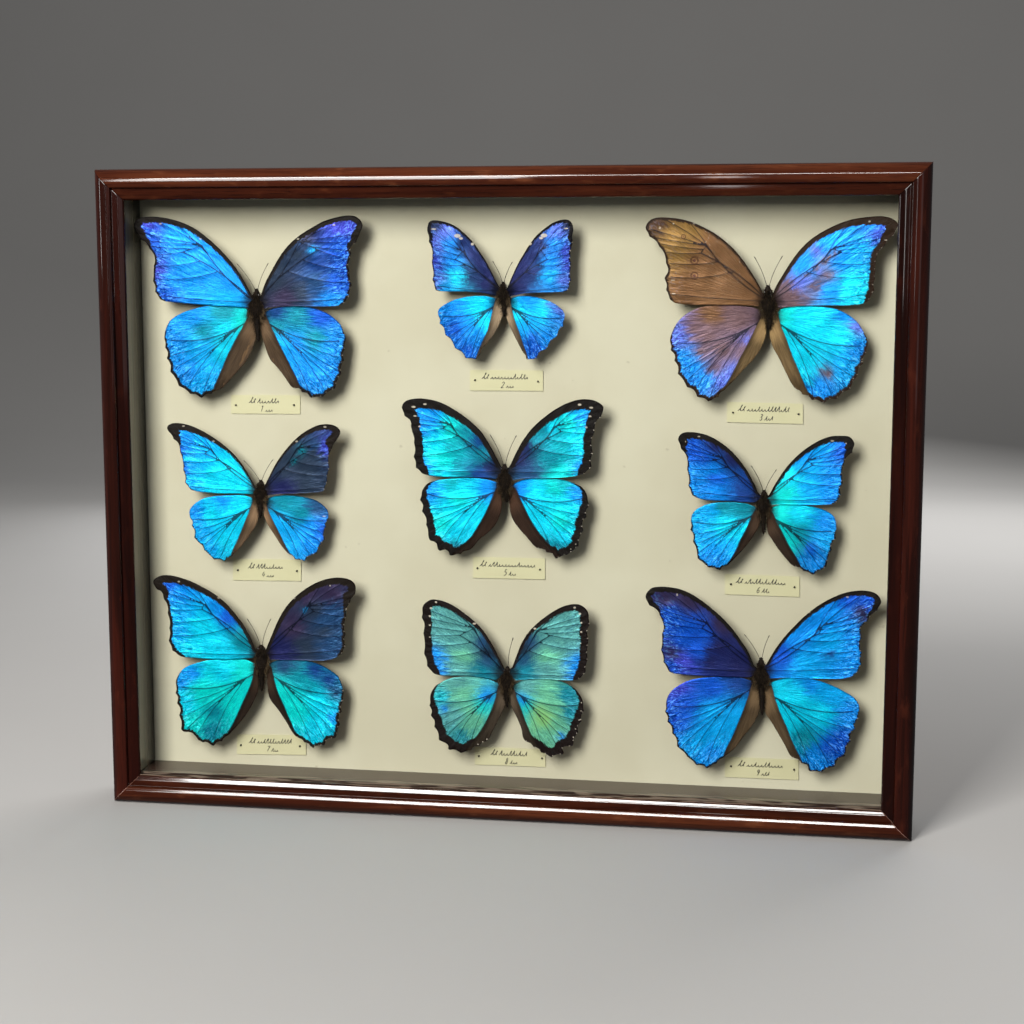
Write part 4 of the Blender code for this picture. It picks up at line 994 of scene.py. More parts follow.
                steel=[(1000, 520), (1250, 650, 0.8)], deep=[(1150, 545, 0.8), (1220, 590, 0.8)],
                teal=[(1060, 590, 0.7), (1120, 640, 0.5)],
                turquoise=[(1060, 760, 2.0), (1000, 690), (970, 640)],
                cyan=[(1150, 820, 2.2), (1180, 710, 1.2)], azure=[(1250, 780, 0.7)]))),
    8: dict(
        border=(42, 24, 20), fold=(80, 68, 55), crease=0.9, pale=0.9,
        LF=dict(
            edge=(2.2, 5.6, 4.8, 3.2), cell=((570, 350), (482, 392)),
            spots=[(340, 192, 10, 8), (310, 228, 11, 8), (303, 276, 10, 8), (303, 330, 8, 6),
                   (303, 402, 7, 5), (570, 322, 14, 8)],
            paint=dict(
                sea=[(480, 440), (450, 320), (480, 580), (380, 250), (350, 350), (530, 390)],
                green=[(500, 520)], ink=[(650, 500)], steel=[(610, 430), (640, 560)],
                azure=[(340, 520, 0.7), (350, 600, 0.6)], teal=[(620, 600)])),
        RF=dict(
            edge=(2.2, 5.6, 4.8, 3.2), cell=((945, 365), (1030, 392)),
            spots=[(1175, 225, 10, 8), (1207, 262, 10, 8), (1216, 315, 8, 7), (1215, 371, 8, 7),
                   (1212, 440, 5, 5), (935, 352, 12, 8)],
            paint=dict(
                sea=[(1050, 440), (1060, 310), (1000, 590), (1140, 260), (1170, 380), (980, 380)],
                green=[(1010, 520)], ink=[(860, 460)], steel=[(910, 430), (870, 560)],
                azure=[(1190, 560, 0.6), (1190, 635, 0.5)], teal=[(880, 600)])),
        LH=dict(
            edge=(0.8, 4.0, 5.2, 4.8),
            spots=[(590, 1056, 6, 5), (617, 1040, 6, 5), (643, 1024, 6, 5)],
            paint=dict(
                green=[(500, 740), (550, 850), (590, 900), (530, 960)],
                azure=[(640, 770, 0.7), (385, 840, 0.35)], lagoon=[(375, 770, 0.6)],
                sea=[(450, 880), (480, 680)], teal=[(500, 990)], turquoise=[(610, 830)])),
        RH=dict(
            edge=(0.8, 4.0, 5.2, 4.8),
            spots=[(1215, 800, 5, 5), (1212, 850, 5, 5), (1200, 905, 5, 5), (1178, 960, 5, 5),
                   (1165, 1010, 5, 5)],
            paint=dict(
                green=[(1000, 730), (1060, 830), (1010, 1000), (1070, 940)],
                lime=[(1000, 900), (940, 850)], azure=[(860, 790, 0.7), (1090, 1000, 0.35)],
                turquoise=[(890, 830)], teal=[(1130, 760), (1140, 860)], sea=[(900, 700)]))),
    9: dict(
        border=(34, 24, 18), fold=(106, 86, 62), crease=1.1,
        LF=dict(
            edge=(2.4, 3.8, 0.8, 0.6), cell=((410, 250), (390, 276)),
            spots=[(272, 116, 6, 8), (445, 186, 9, 4)],
            paint=dict(
                indigo=[(560, 440), (430, 430), (470, 370)],
                plum=[(490, 250), (320, 140), (245, 400), (225, 135)],
                royal=[(330, 280), (360, 370), (240, 215), (240, 455), (300, 330), (400, 300, 0.6)],
                violet=[(300, 430)])),
        RF=dict(
            edge=(2.2, 3.8, 0.8, 0.6), cell=((962, 264), (946, 302)),
            spots=[(1080, 127, 9, 6), (898, 200, 9, 5)],
            paint=dict(
                sky=[(880, 440), (1000, 340)],
                azure=[(850, 310), (1100, 290), (1110, 450), (1000, 200), (940, 250)],
                royal=[(1080, 130), (770, 400), (1190, 140)], plum=[(1150, 205, 0.8)],
                deep=[(1000, 392, 0.4)])),
        LH=dict(
            edge=(0.5, 0.9, 1.0, 1.2),
            paint=dict(
                deep=[(560, 530)], sky=[(450, 680), (380, 820), (560, 700), (490, 790)],
                royal=[(300, 620), (270, 700), (430, 560)], violet=[(270, 575)], azure=[(420, 870)])),
        RH=dict(
            edge=(0.5, 0.9, 1.0, 1.2),
            paint=dict(
                cyan=[(765, 600), (850, 610), (950, 680), (800, 720)], teal=[(880, 800)],
                royal=[(1060, 810), (990, 850)], azure=[(1090, 680), (900, 550), (940, 900)],
                sky=[(1000, 600)]))),
}


def spot(insect, place, depth=WING_DEPTH):
    """A point of the drawing of one butterfly, carried onto the depth of its wings."""
    x0, y0 = insect["corner"]
    return on_depth(x0 + place[0] / insect["zoom"], y0 + place[1] / insect["zoom"], depth)


def far_from(points, line):
    """For each point its distance to a line of points, and where on the line that is, from 0 up."""
    a = line[:-1]
    run = line[1:] - a
    size = np.maximum((run ** 2).sum(axis=1), 1e-12)
    rel = points[:, None, :] - a[None, :, :]
    share = np.clip((rel * run[None]).sum(axis=2) / size, 0.0, 1.0)
    gap = np.linalg.norm(rel - share[:, :, None] * run[None], axis=2)
    best = gap.argmin(axis=1)
    rows = np.arange(len(points))
    return gap[rows, best], best + share[rows, best]


def inside(points, loop):
    """True for the points inside a closed loop."""
    x, y = points[:, 0][:, None], points[:, 1][:, None]
    x0, y0 = loop[:, 0][None], loop[:, 1][None]
    x1, y1 = np.roll(loop, -1, axis=0).T
    crosses = (y0 > y) != (y1[None] > y)
    with np.errstate(divide="ignore", invalid="ignore"):
        at = x0 + (y - y0) * (x1[None] - x0) / (y1[None] - y0)
    return (crosses & (x < at)).sum(axis=1) % 2 == 1


def smooth(value, low, high):
    """0 below low, 1 above high, and an even bend between them."""
    share = np.clip((value - low) / (high - low), 0.0, 1.0)
    return share * share * (3.0 - 2.0 * share)


def bow(start, end, bend):
    """A shallow arc between two places."""
    start, end = np.array(start), np.array(end)
    side = np.array([-(end - start)[1], (end - start)[0]])
    t = np.linspace(0.0, 1.0, 14)[:, None]
    return start + (end - start) * t + side * bend * 4.0 * t * (1.0 - t)


# How far apart, in mm, the points of a wing's leading edge, rim and trailing edge are.
LEAD_GAP, RIM_GAP, TRAIL_GAP = 0.7, 0.55, 0.8
PER_SPAN = 12
# The teeth of the rims, as height and spacing in mm, and the spacing of their pale hollows.
FORE_TEETH = (0.9, 8.5)
HIND_TEETH = (1.35, 7.5)
HOLLOW_GAP = 4.6


class Wing:
    """The drawing of one wing in mm, with its outline, its veins and where its border lies."""

    def __init__(self, insect, looks, key, hub):
        self.insect = insect
        self.look = looks[key]
        self.strength = looks["crease"] * self.look.get("calm", 1.0)
        self.hind = key[1] == "H"
        self.hand = -1.0 if key[0] == "L" else 1.0
        lead, rim, trail = [self.to_mm(part) for part in insect[key]]
        # How many mm one step of the cut is.
        self.scale = np.linalg.norm(self.to_mm([(100, 0)])[0] - self.to_mm([(0, 0)])[0]) / 100.0
        self.root = np.array([hub[0] + self.hand * 0.6, (lead[0][1] + trail[-1][1]) / 2.0])
        curve = curve_through(np.vstack([lead, rim, trail]), PER_SPAN)
        tip = PER_SPAN * len(lead)
        corner = tip + PER_SPAN * (len(rim) - 1)
        self.lead = evenly(curve[:tip + 1], LEAD_GAP)
        self.rim = evenly(curve[tip:corner + 1], RIM_GAP)
        self.trail = evenly(curve[corner:], TRAIL_GAP)
        self.notch_rim(*(HIND_TEETH if self.hind else FORE_TEETH))
        self.line = np.vstack([self.lead, self.rim[1:], self.trail[1:]])
        self.loop = np.vstack([self.line, self.root])
        self.closed = np.vstack([self.loop, self.loop[:1]])
        self.fold = None
        if self.hind:
            drawn = self.to_mm(insect["folds"][0 if self.hand < 0 else 1])
            self.fold = evenly(curve_through(np.vstack([self.root, drawn]), 6), 1.0)
        self.veins = self.hind_veins() if self.hind else self.fore_veins()

    def to_mm(self, places):
        return np.array([spot(self.insect, p) for p in places])

    def notch_rim(self, high, apart):
        """Small teeth along the rim, with hollows between them."""
        run = np.gradient(self.rim, axis=0)
        out = np.column_stack([run[:, 1], -run[:, 0]]) / np.linalg.norm(run, axis=1)[:, None]
        if (out[len(out) // 2] @ (self.rim[len(out) // 2] - self.root)) < 0.0:
            out = -out
        length = np.linalg.norm(np.diff(self.rim, axis=0), axis=1).sum()
        along = np.linspace(0.0, 1.0, len(self.rim))
        count = round(length / apart)
        dents = round(length / HOLLOW_GAP)
        wave = 1.0 - np.abs(np.sin(math.pi * (along * count + 0.25 * np.sin(7.0 * along))))
        self.hollows = [(k + 0.5) / dents for k in range(1, dents)]
        fade = np.minimum(1.0, 8.0 * np.minimum(along, 1.0 - along))
        self.rim = self.rim + out * ((wave - 0.35) * high * fade)[:, None]

    def on_rim(self, share):
        """The rim's point at this share of its length, from the tip."""
        return self.rim[int(round(share * (len(self.rim) - 1)))]

    def on_lead(self, share):
        return self.lead[int(share * len(self.lead))]

    def fore_veins(self):
        """A closed cell, the veins that leave it, and one along the trailing edge."""
        upper, lower = self.to_mm(self.look["cell"])
        turn = self.hand * 0.05
        top = bow(self.root, upper, -turn)
        low = bow(self.root, lower, turn)
        middle = (upper + lower) / 2.0
        veins = [top, low, np.vstack([upper, middle, lower])]
        starts = [(upper, self.on_lead(0.88)), (top[11], self.on_lead(0.7)), (upper, self.on_rim(0.02)),
                  (upper, self.on_rim(0.14)), (middle, self.on_rim(0.26)), (lower, self.on_rim(0.38)),
                  (low[10], self.on_rim(0.52)), (low[7], self.on_rim(0.68))]
        for k, (start, end) in enumerate(starts):
            veins.append(bow(start, end, self.hand * (0.03 - 0.012 * k))[:-1])
        corner = self.on_rim(0.9) * 0.97 + self.root * 0.03
        veins.append(bow(self.root, corner, self.hand * -0.012))
        return veins

    def hind_veins(self):
        """A stem from the root, the veins that fan out from it, and the fold."""
        knot = self.root + (self.on_rim(0.42) - self.root) * 0.4
        stem = bow(self.root, knot, self.hand * 0.05)
        veins = [stem]
        for start, share, bend in ((stem[4], 0.03, 0.09), (stem[6], 0.2, 0.05), (stem[9], 0.34, 0.02),
                                   (knot, 0.47, -0.02), (stem[11], 0.61, -0.05), (stem[6], 0.78, -0.05)):
            veins.append(bow(start, self.on_rim(share), self.hand * -bend)[:-1])
        veins.append(self.fold[:-2])
        return veins

    def grid(self, gap):
        """Even points inside the outline and clear of it."""
        low, high = self.loop.min(axis=0), self.loop.max(axis=0)
        rows = np.arange(low[1], high[1], gap * 0.866)
        cols = np.arange(low[0], high[0], gap)
        pts = np.array([(x + (gap / 2.0 if r % 2 else 0.0), y) for r, y in enumerate(rows) for x in cols])
        pts = pts[inside(pts, self.loop)]
        return pts[far_from(pts, self.closed)[0] > gap * 0.45]

    def surface(self, gap, detailed):
        """Triangles inside the outline. Gives places, triangles and where each outline point went."""
        pts = self.grid(gap)
        coords = [tuple(p) for p in self.loop]
        edges = []
        rings = []
        if detailed:
            near = np.full(len(pts), 9.0)
            for vein in self.veins:
                vein = evenly(vein, gap)
                vein = vein[inside(vein, self.loop)]
                vein = vein[far_from(vein, self.closed)[0] > 0.3]
                if len(vein) < 3:
                    continue
                first = len(coords)
                coords.extend(tuple(p) for p in vein)
                edges.extend((first + k, first + k + 1) for k in range(len(vein) - 1))
                near = np.minimum(near, far_from(pts, vein)[0])
            for x, y, wide, high in self.spots():
                for grow in (0.0, 0.55, 1.0, 1.45):
                    for turn in np.arange(0, 1 if grow == 0.0 else 10) / 10.0 * 2.0 * math.pi:
                        rings.append((x + grow * wide * math.cos(turn), y + grow * high * math.sin(turn)))
                reach = ((pts[:, 0] - x) / wide) ** 2 + ((pts[:, 1] - y) / high) ** 2
                near = np.where(reach < 2.6, 0.0, near)
            pts = pts[near > gap * 0.45]
            rings = [p for p in rings if inside(np.array([p]), self.loop)[0]]
        coords.extend(tuple(p) for p in pts)
        coords.extend(rings)
        outline = [list(range(len(self.loop)))]
        made = geometry.delaunay_2d_cdt([Vector(c) for c in coords], edges, outline, 1, 1e-4)
        places = np.array([tuple(v) for v in made[0]])
        where = {old: new for new, olds in enumerate(made[3]) for old in olds}
        return places, [tuple(f) for f in made[2]], [where[k] for k in range(len(self.loop))]

    def spots(self):
        """Pale spots as place and half sizes in mm; some of them are painted highlights."""
        out = []
        for px, py, wide, high in self.look.get("spots", ()):
            x, y = self.to_mm([(px, py)])[0]
            out.append((x, y, max(wide * self.scale * 0.8, 0.3), max(high * self.scale * 0.8, 0.25)))
        # Painted highlight: the fringe is drawn pale in the hollows of the rims that face the light.
        for share in self.hollows if self.hand > 0.0 else ():
            place = self.on_rim(share)
            inward = self.root - place
            place = place + inward / np.linalg.norm(inward) * 0.45
            out.append((place[0], place[1], 0.34, 0.3))
        return out

    def fields(self, pts):
        """What the wing's material reads at each place."""
        out = {}
        gap, along = far_from(pts, self.line)
        # The border's width changes at steps along the line: lead, tip, rim and inner corner.
        tip, tail = len(self.lead) - 1, len(self.lead) + len(self.rim) - 2
        lead, apex, rim, corner = self.look["edge"]
        steps = [0.0, 0.35 * tip, 0.8 * tip, tip + 0.1 * (tail - tip), tip + 0.3 * (tail - tip), tail - 3.0,
                 tail + 1.0, tail + 4.0]
        widths = [lead * 0.7, lead, (lead + apex) / 2.0, apex, rim, rim, corner, -1.6]
        if self.hind:
            steps[1:3] = [0.6 * tip, 0.9 * tip]
            widths[:3] = [-1.6, -1.6, 0.5 * apex - 0.5]
        out["border"] = gap - np.interp(along, steps, widths)
        out["rim"] = far_from(pts, self.rim)[0]
        vein = np.full(len(pts), 9.0)
        for k, line in enumerate(self.veins):
            vein = np.minimum(vein, far_from(pts, line)[0] * (1.1 if k < 2 else 2.0))
        out["vein"] = vein
        rel = pts - self.root
        mid = self.on_rim(0.45) - self.root
        turn = np.arctan2(rel[:, 1], rel[:, 0] * self.hand) - math.atan2(mid[1], mid[0] * self.hand)
        reach = np.linalg.norm(rel, axis=1)
        # Across the veins, along them, and a number that differs from wing to wing.
        own = self.root[0] + 7.0 * self.hand + 90.0 * self.hind
        out["flow"] = np.column_stack([turn * 42.0, reach, np.full(len(pts), own)])
        spotted = np.full(len(pts), 3.0)
        for x, y, wide, high in self.spots():
            spotted = np.minimum(spotted, np.hypot((pts[:, 0] - x) / wide, (pts[:, 1] - y) / high))
        out["spot"] = spotted
        ring = np.full(len(pts), 9.0)
        for px, py, wide in self.look.get("rings", ()):
            x, y = self.to_mm([(px, py)])[0]
            ring = np.minimum(ring, np.hypot(pts[:, 0] - x, pts[:, 1] - y) / (wide * self.scale))
        out["ring"] = ring
        out["under_fold"] = self.past_fold(pts)
        out["tint"] = self.colours(pts)
        return out

    def past_fold(self, pts):
        """How far a place lies past the fold, towards the body, in mm. Negative on the blue."""
        if self.fold is None:
            return np.full(len(pts), -20.0)
        gap, along = far_from(pts, self.fold)
        k = np.clip(along.astype(int), 0, len(self.fold) - 2)
        run = self.fold[k + 1] - self.fold[k]
        rel = pts - self.fold[k]
        side = np.sign(run[:, 0] * rel[:, 1] - run[:, 1] * rel[:, 0]) * -self.hand
        return gap * side

    def colours(self, pts):
        """Soft patches of named colours, blended by nearness."""
        total = np.zeros((len(pts), 3))
        weight = np.zeros(len(pts))
        rel = pts - self.root
        reach = np.linalg.norm(rel, axis=1)
        turn = np.arctan2(rel[:, 1], rel[:, 0] * self.hand)
        drag = np.array([noise.noise((a * 30.0, b * 0.1, 1.0)) + 0.6 * noise.noise((a * 70.0, b * 0.2, 5.0))
                         for a, b in zip(turn, reach)])
        pts = pts + rel / np.maximum(reach, 1.0)[:, None] * (drag * 4.5)[:, None]
        for name, places in self.look["paint"].items():
            for px, py, *sizes in places:
                size = sizes[0] if sizes else 1.0
                gap = np.linalg.norm(pts - self.to_mm([(px, py)])[0], axis=1) / size
                pull = 1.0 / (gap ** 2 + 12.0) ** 1.8
                total += pull[:, None] * np.array(shade(*PALETTE[name]))
                weight += pull
        return total / weight[:, None]

    def relief(self, pts, values):
        """How far each place stands towards the glass, in mm: ribs, gentle waves and rim creases."""
        ribs = 0.1 * np.exp(-(values["vein"] / 0.7) ** 2)
        trough = -0.1 * smooth(values["vein"], 0.6, 4.5)
        edge = 1.0 - smooth(values["rim"], 2.0, 13.0)
        flow = values["flow"]
        crease = np.array([noise.noise((a * 0.75 + 0.1 * b, b * 0.16, s)) for a, b, s in flow])
        wave = np.array([noise.noise((x * 0.09, y * 0.09, 3.1)) for x, y in pts])
        lift = ribs + trough + 0.5 * wave + (0.12 + 0.3 * edge) * crease * self.strength
        held = smooth(flow[:, 1], 2.0, 9.0)
        if self.hind:
            past = np.clip(values["under_fold"], 0.0, 9.0)
            lift = lift - 0.16 * past
        return lift * held


def scale_paint(number, looks):
    """Shimmering wing scales: colour patches with painted highlights and shade on the crumples, dark veins
    and border, pale spots, brown fold with painted light and shade.
    """
    wing = Paint("wing scales %d" % number, rough=0.4, metal=0.25)
    wing.set("Specular IOR Level", 0.1)
    flow = wing.attribute("flow", "Vector")
    tint = wing.attribute("tint", "Color")
    vein = wing.attribute("vein")
    rim = wing.attribute("rim")
    crease = looks["crease"]
    streak = wing.noise(wing.stretch(flow, (1.0, 0.09, 1.0)), 1.0, 3.0, 0.6, 0.35)
    thread = wing.noise(wing.stretch(flow, (1.0, 0.16, 1.0)), 2.6, 2.0, 0.6, 0.5)
    grit = wing.noise(flow, 2.2, 3.0, 0.75)
    crumple = wing.noise(wing.stretch(flow, (1.0, 0.24, 1.0)), 0.95, 3.0, 0.62, 1.8)
    near_rim = wing.span(rim, 17.0, 2.0, 0.12, 1.0)
    # Only the blue scales are crumpled like foil, the brown ones lie flat.
    parts = wing.new("ShaderNodeSeparateColor")
    wing.feed(parts.inputs[0], tint)
    blue = wing.span(wing.math("SUBTRACT", parts.outputs[2], parts.outputs[0]), 0.0, 0.35, 0.1, 1.0)
    near_rim = wing.math("MULTIPLY", near_rim, blue)
    calm = wing.math("MULTIPLY_ADD", blue, 0.75, 0.25)
    dark = wing.times(tint, (0.3, 0.4, 0.52))
    light = wing.times(tint, (1.7, 1.55, 1.35))
    colour = tint
    for mask, other in ((wing.span(streak, 0.36, 0.52, 0.65, 0.0), dark),
                        (wing.span(thread, 0.5, 0.66, 0.0, 0.85), light),
                        (wing.span(grit, 0.38, 0.54, 0.75, 0.0), dark)):
        colour = wing.mix(wing.math("MULTIPLY", calm, mask), colour, other)
    # Painted highlights on the crumples near the rim.
    gleam = wing.mix(0.5, light, shade(112, 190, 255))
    crumple_glint = wing.math("MULTIPLY", wing.span(crumple, 0.53, 0.62, 0.0, min(0.85 * crease, 1.0)), near_rim)
    colour = wing.mix(crumple_glint, colour, gleam)
    # Painted shade in the hollows of the crumples.
    dull = wing.math("MULTIPLY", wing.span(crumple, 0.47, 0.38, 0.0, min(0.9 * crease, 1.0)), near_rim)
    colour = wing.mix(dull, colour, wing.times(tint, (0.16, 0.2, 0.34)))
    colour = wing.mix(wing.span(vein, 1.4, 0.2, 0.0, 0.4), colour, dark)
    line = wing.math("ADD", vein, wing.sway(grit, 0.4))
    colour = wing.mix(wing.span(line, 0.46, 0.12, 0.0, 0.85), colour, shade(10, 14, 28))

    # Eye spots: a dark ring, a dark heart and a pale centre.
    ring = wing.attribute("ring")
    halo = wing.math("ABSOLUTE", wing.math("SUBTRACT", ring, 0.85))
    colour = wing.mix(wing.span(halo, 0.3, 0.08, 0.0, 0.8), colour, shade(72, 44, 30))
    colour = wing.mix(wing.span(ring, 0.45, 0.3, 0.0, 0.85), colour, shade(84, 50, 46))
    colour = wing.mix(wing.span(ring, 0.16, 0.08, 0.0, 0.7), colour, shade(176, 140, 112))

    # The dark border, with a ragged inner edge.
    ragged = wing.noise(wing.stretch(flow, (1.0, 0.22, 1.0)), 1.5, 3.0, 0.7)
    border = wing.math("ADD", wing.attribute("border"), wing.sway(ragged, 3.6))
    border_mask = wing.span(border, 0.35, -0.35)
    edge = shade(*(c * 0.64 for c in looks["border"]))
    colour = wing.mix(border_mask, colour, wing.mix(grit, tuple(c * 0.4 for c in edge), edge))

    # The dark root, and the brown scales past the fold of a hind wing: painted light makes the fold lighter
    # near the body, and painted shade darkens it just past the fold line and near the rim.
    split = wing.new("ShaderNodeSeparateXYZ")
    wing.feed(split.inputs[0], flow)
    reach = wing.math("ADD", split.outputs[1], wing.sway(streak, 8.0))
    root = tuple(c * 0.5 for c in edge)
    colour = wing.mix(wing.span(reach, 10.0, 4.0, 0.0, 0.85), colour, root)
    past = wing.math("ADD", wing.attribute("under_fold"), wing.sway(thread, 1.1))
    fold_mask = wing.span(past, -0.25, 0.35)
    inner = shade(*looks["fold"])
    lit = wing.span(split.outputs[1], 9.0, 19.0, 1.0, 0.0)
    inner = wing.mix(lit, tuple(c * 0.72 for c in inner), tuple(c * 1.7 for c in inner))
    fold = wing.mix(wing.span(streak, 0.65, 0.3, 0.0, 0.6), inner, wing.times(inner, (0.45, 0.42, 0.4)))
    shadow = wing.times(inner, (0.24, 0.22, 0.2))
    fold = wing.mix(wing.span(past, 3.2, 0.0, 0.0, 0.8), fold, shadow)
    fold = wing.mix(wing.span(rim, 9.0, 1.0, 0.0, 0.6), fold, shadow)
    colour = wing.mix(fold_mask, colour, fold)

    # Pale spots; the fringe on the lit rims and a few crease glints among them are painted highlights.
    pale = wing.span(wing.attribute("spot"), 1.1, 0.75, 0.0, 0.85 * looks.get("pale", 0.55))
    colour = wing.mix(pale, colour, wing.mix(thread, shade(236, 226, 208), shade(186, 172, 152)))
    under = wing.attribute("under")
    colour = wing.mix(under, colour, wing.mix(streak, shade(70, 50, 34), shade(128, 100, 70)))
    wing.set("Base Color", colour)

    plain = border_mask
    for mask in (fold_mask, under, pale):
        plain = wing.math("MAXIMUM", plain, mask)
    wing.set("Metallic", wing.span(plain, 0.0, 1.0, 0.3, 0.0))
    wing.set("Roughness", wing.span(plain, 0.0, 1.0, 0.36, 0.62))
    height = wing.math("ADD", wing.math("MULTIPLY", crumple, near_rim), wing.math("MULTIPLY", streak, 0.4))
    coarse = wing.bump(height, min(0.6 * crease, 1.0), 0.001)
    wing.set("Normal", wing.bump(thread, 0.35, 0.00025, coarse))
    return wing


# A wing's thickness at its rim in mm, and how far apart the points of its two faces are.
THIN = 0.22
FRONT_GAP = 0.85
UNDER_GAP = 2.6
# The hind wings lie behind the fore wings. Every wing comes forward this much per mm from the body.
FORE_DEPTH = WING_DEPTH - 0.3
HIND_DEPTH = WING_DEPTH + 1.0
RISE = 0.02
# The kinds of the mesh attributes that aren't plain numbers.
LAYER_KINDS = {"tint": "FLOAT_COLOR", "flow": "FLOAT_VECTOR"}


def wings_of(number, insect, looks):
    """All four wings of one butterfly as one piece, front and underside."""
    hub = spot(insect, insect["body"][1])
    verts = []
    faces = []
    data = {}
    for key in ("LH", "RH", "LF", "RF"):
        wing = Wing(insect, looks, key, hub)
        base = HIND_DEPTH if wing.hind else FORE_DEPTH
        for under, gap in ((0.0, FRONT_GAP), (1.0, UNDER_GAP)):
            pts, tris, rim = wing.surface(gap, under == 0.0)
            values = wing.fields(pts)
            tint = values["tint"] * looks.get("dim", 1.0)
            values["tint"] = np.column_stack([tint, np.ones(len(tint))])
            lift = wing.relief(pts, values)
            first = len(verts)
            if under:
                lift = np.where(np.isin(np.arange(len(pts)), rim), lift, lift * 0.6 - 0.4)
            for (x, z), up in zip(pts, lift):
                depth = base - RISE * abs(x - hub[0]) - up + under * THIN
                verts.append(point(x, z, depth))
            values["under"] = np.full(len(pts), under)
            for name, numbers in values.items():
                data.setdefault(name, []).append(numbers)
            if under:
                faces.extend(tuple(first + k for k in reversed(f)) for f in tris)
                edge = [first + k for k in rim]
                for k in range(len(edge)):
                    n = (k + 1) % len(edge)
                    faces.append((front_edge[n], front_edge[k], edge[k], edge[n]))
            else:
                faces.extend(tuple(first + k for k in f) for f in tris)
                front_edge = [first + k for k in rim]
    obj = solid("wings_%d" % number, verts, faces, scale_paint(number, looks))
    for name, parts in data.items():
        store(obj, name, np.concatenate(parts), LAYER_KINDS.get(name, "FLOAT"))
    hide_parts("butterfly_%d" % number)


def fur_paint():
    """Dark brown fur, with some pale hairs."""
    fur = Paint("body fur", rough=0.75)
    fur.set("Specular IOR Level", 0.12)
    fleck = fur.noise(fur.place(), 2400.0, 3.0)
    colour = fur.mix(fur.span(fleck, 0.35, 0.7), shade(12, 8, 5), shade(42, 29, 18))
    pale = fur.span(fur.attribute("pale"), 0.0, 1.0, 0.0, 0.85)
    fur.set("Base Color", fur.mix(pale, colour, shade(132, 110, 80)))
    fur.set("Normal", fur.bump(fleck, 0.6, 0.0002))
    return fur


def eye_paint():
    """Round glossy eyes with a fine mottle."""
    eye = Paint("dark eye", rough=0.2, coat=0.6, coat_rough=0.05)
    cells = eye.noise(eye.place(), 5200.0, 1.0)
    eye.set("Base Color", eye.mix(cells, shade(16, 11, 9), shade(44, 28, 18)))
    return eye


fur = fur_paint()
eye = eye_paint()

# The bodies and the fur start from this depth in mm.
BODY_DEPTH = WING_DEPTH + 0.8
# Down the body: place along the spine's drawn points, half width and half thickness in mm.
BODY_RINGS = [(-0.2, 0.3, 0.3), (-0.14, 1.0, 0.9), (-0.04, 1.7, 1.5), (0.1, 2.1, 1.8), (0.25, 2.15, 1.8),
              (0.4, 1.7, 1.5), (0.5, 1.9, 1.6), (0.62, 3.1, 2.1), (0.8, 4.2, 2.6), (1.0, 4.7, 2.8),
              (1.3, 4.4, 2.8), (1.6, 3.3, 2.4), (1.82, 2.1, 1.9), (2.0, 1.7, 1.7), (2.3, 1.75, 1.7),
              (2.55, 1.55, 1.5), (2.8, 1.15, 1.15), (2.95, 0.7, 0.7), (3.02, 0.2, 0.2)]
# The finer rings that carry the feelers, the antennae and the eyes.
FEELER_RING, HORN_RING, EYE_RING = 4, 5, 10
FUR_HAIRS, FEELER_HAIRS, PALE_HAIRS = 1300, 60, 260


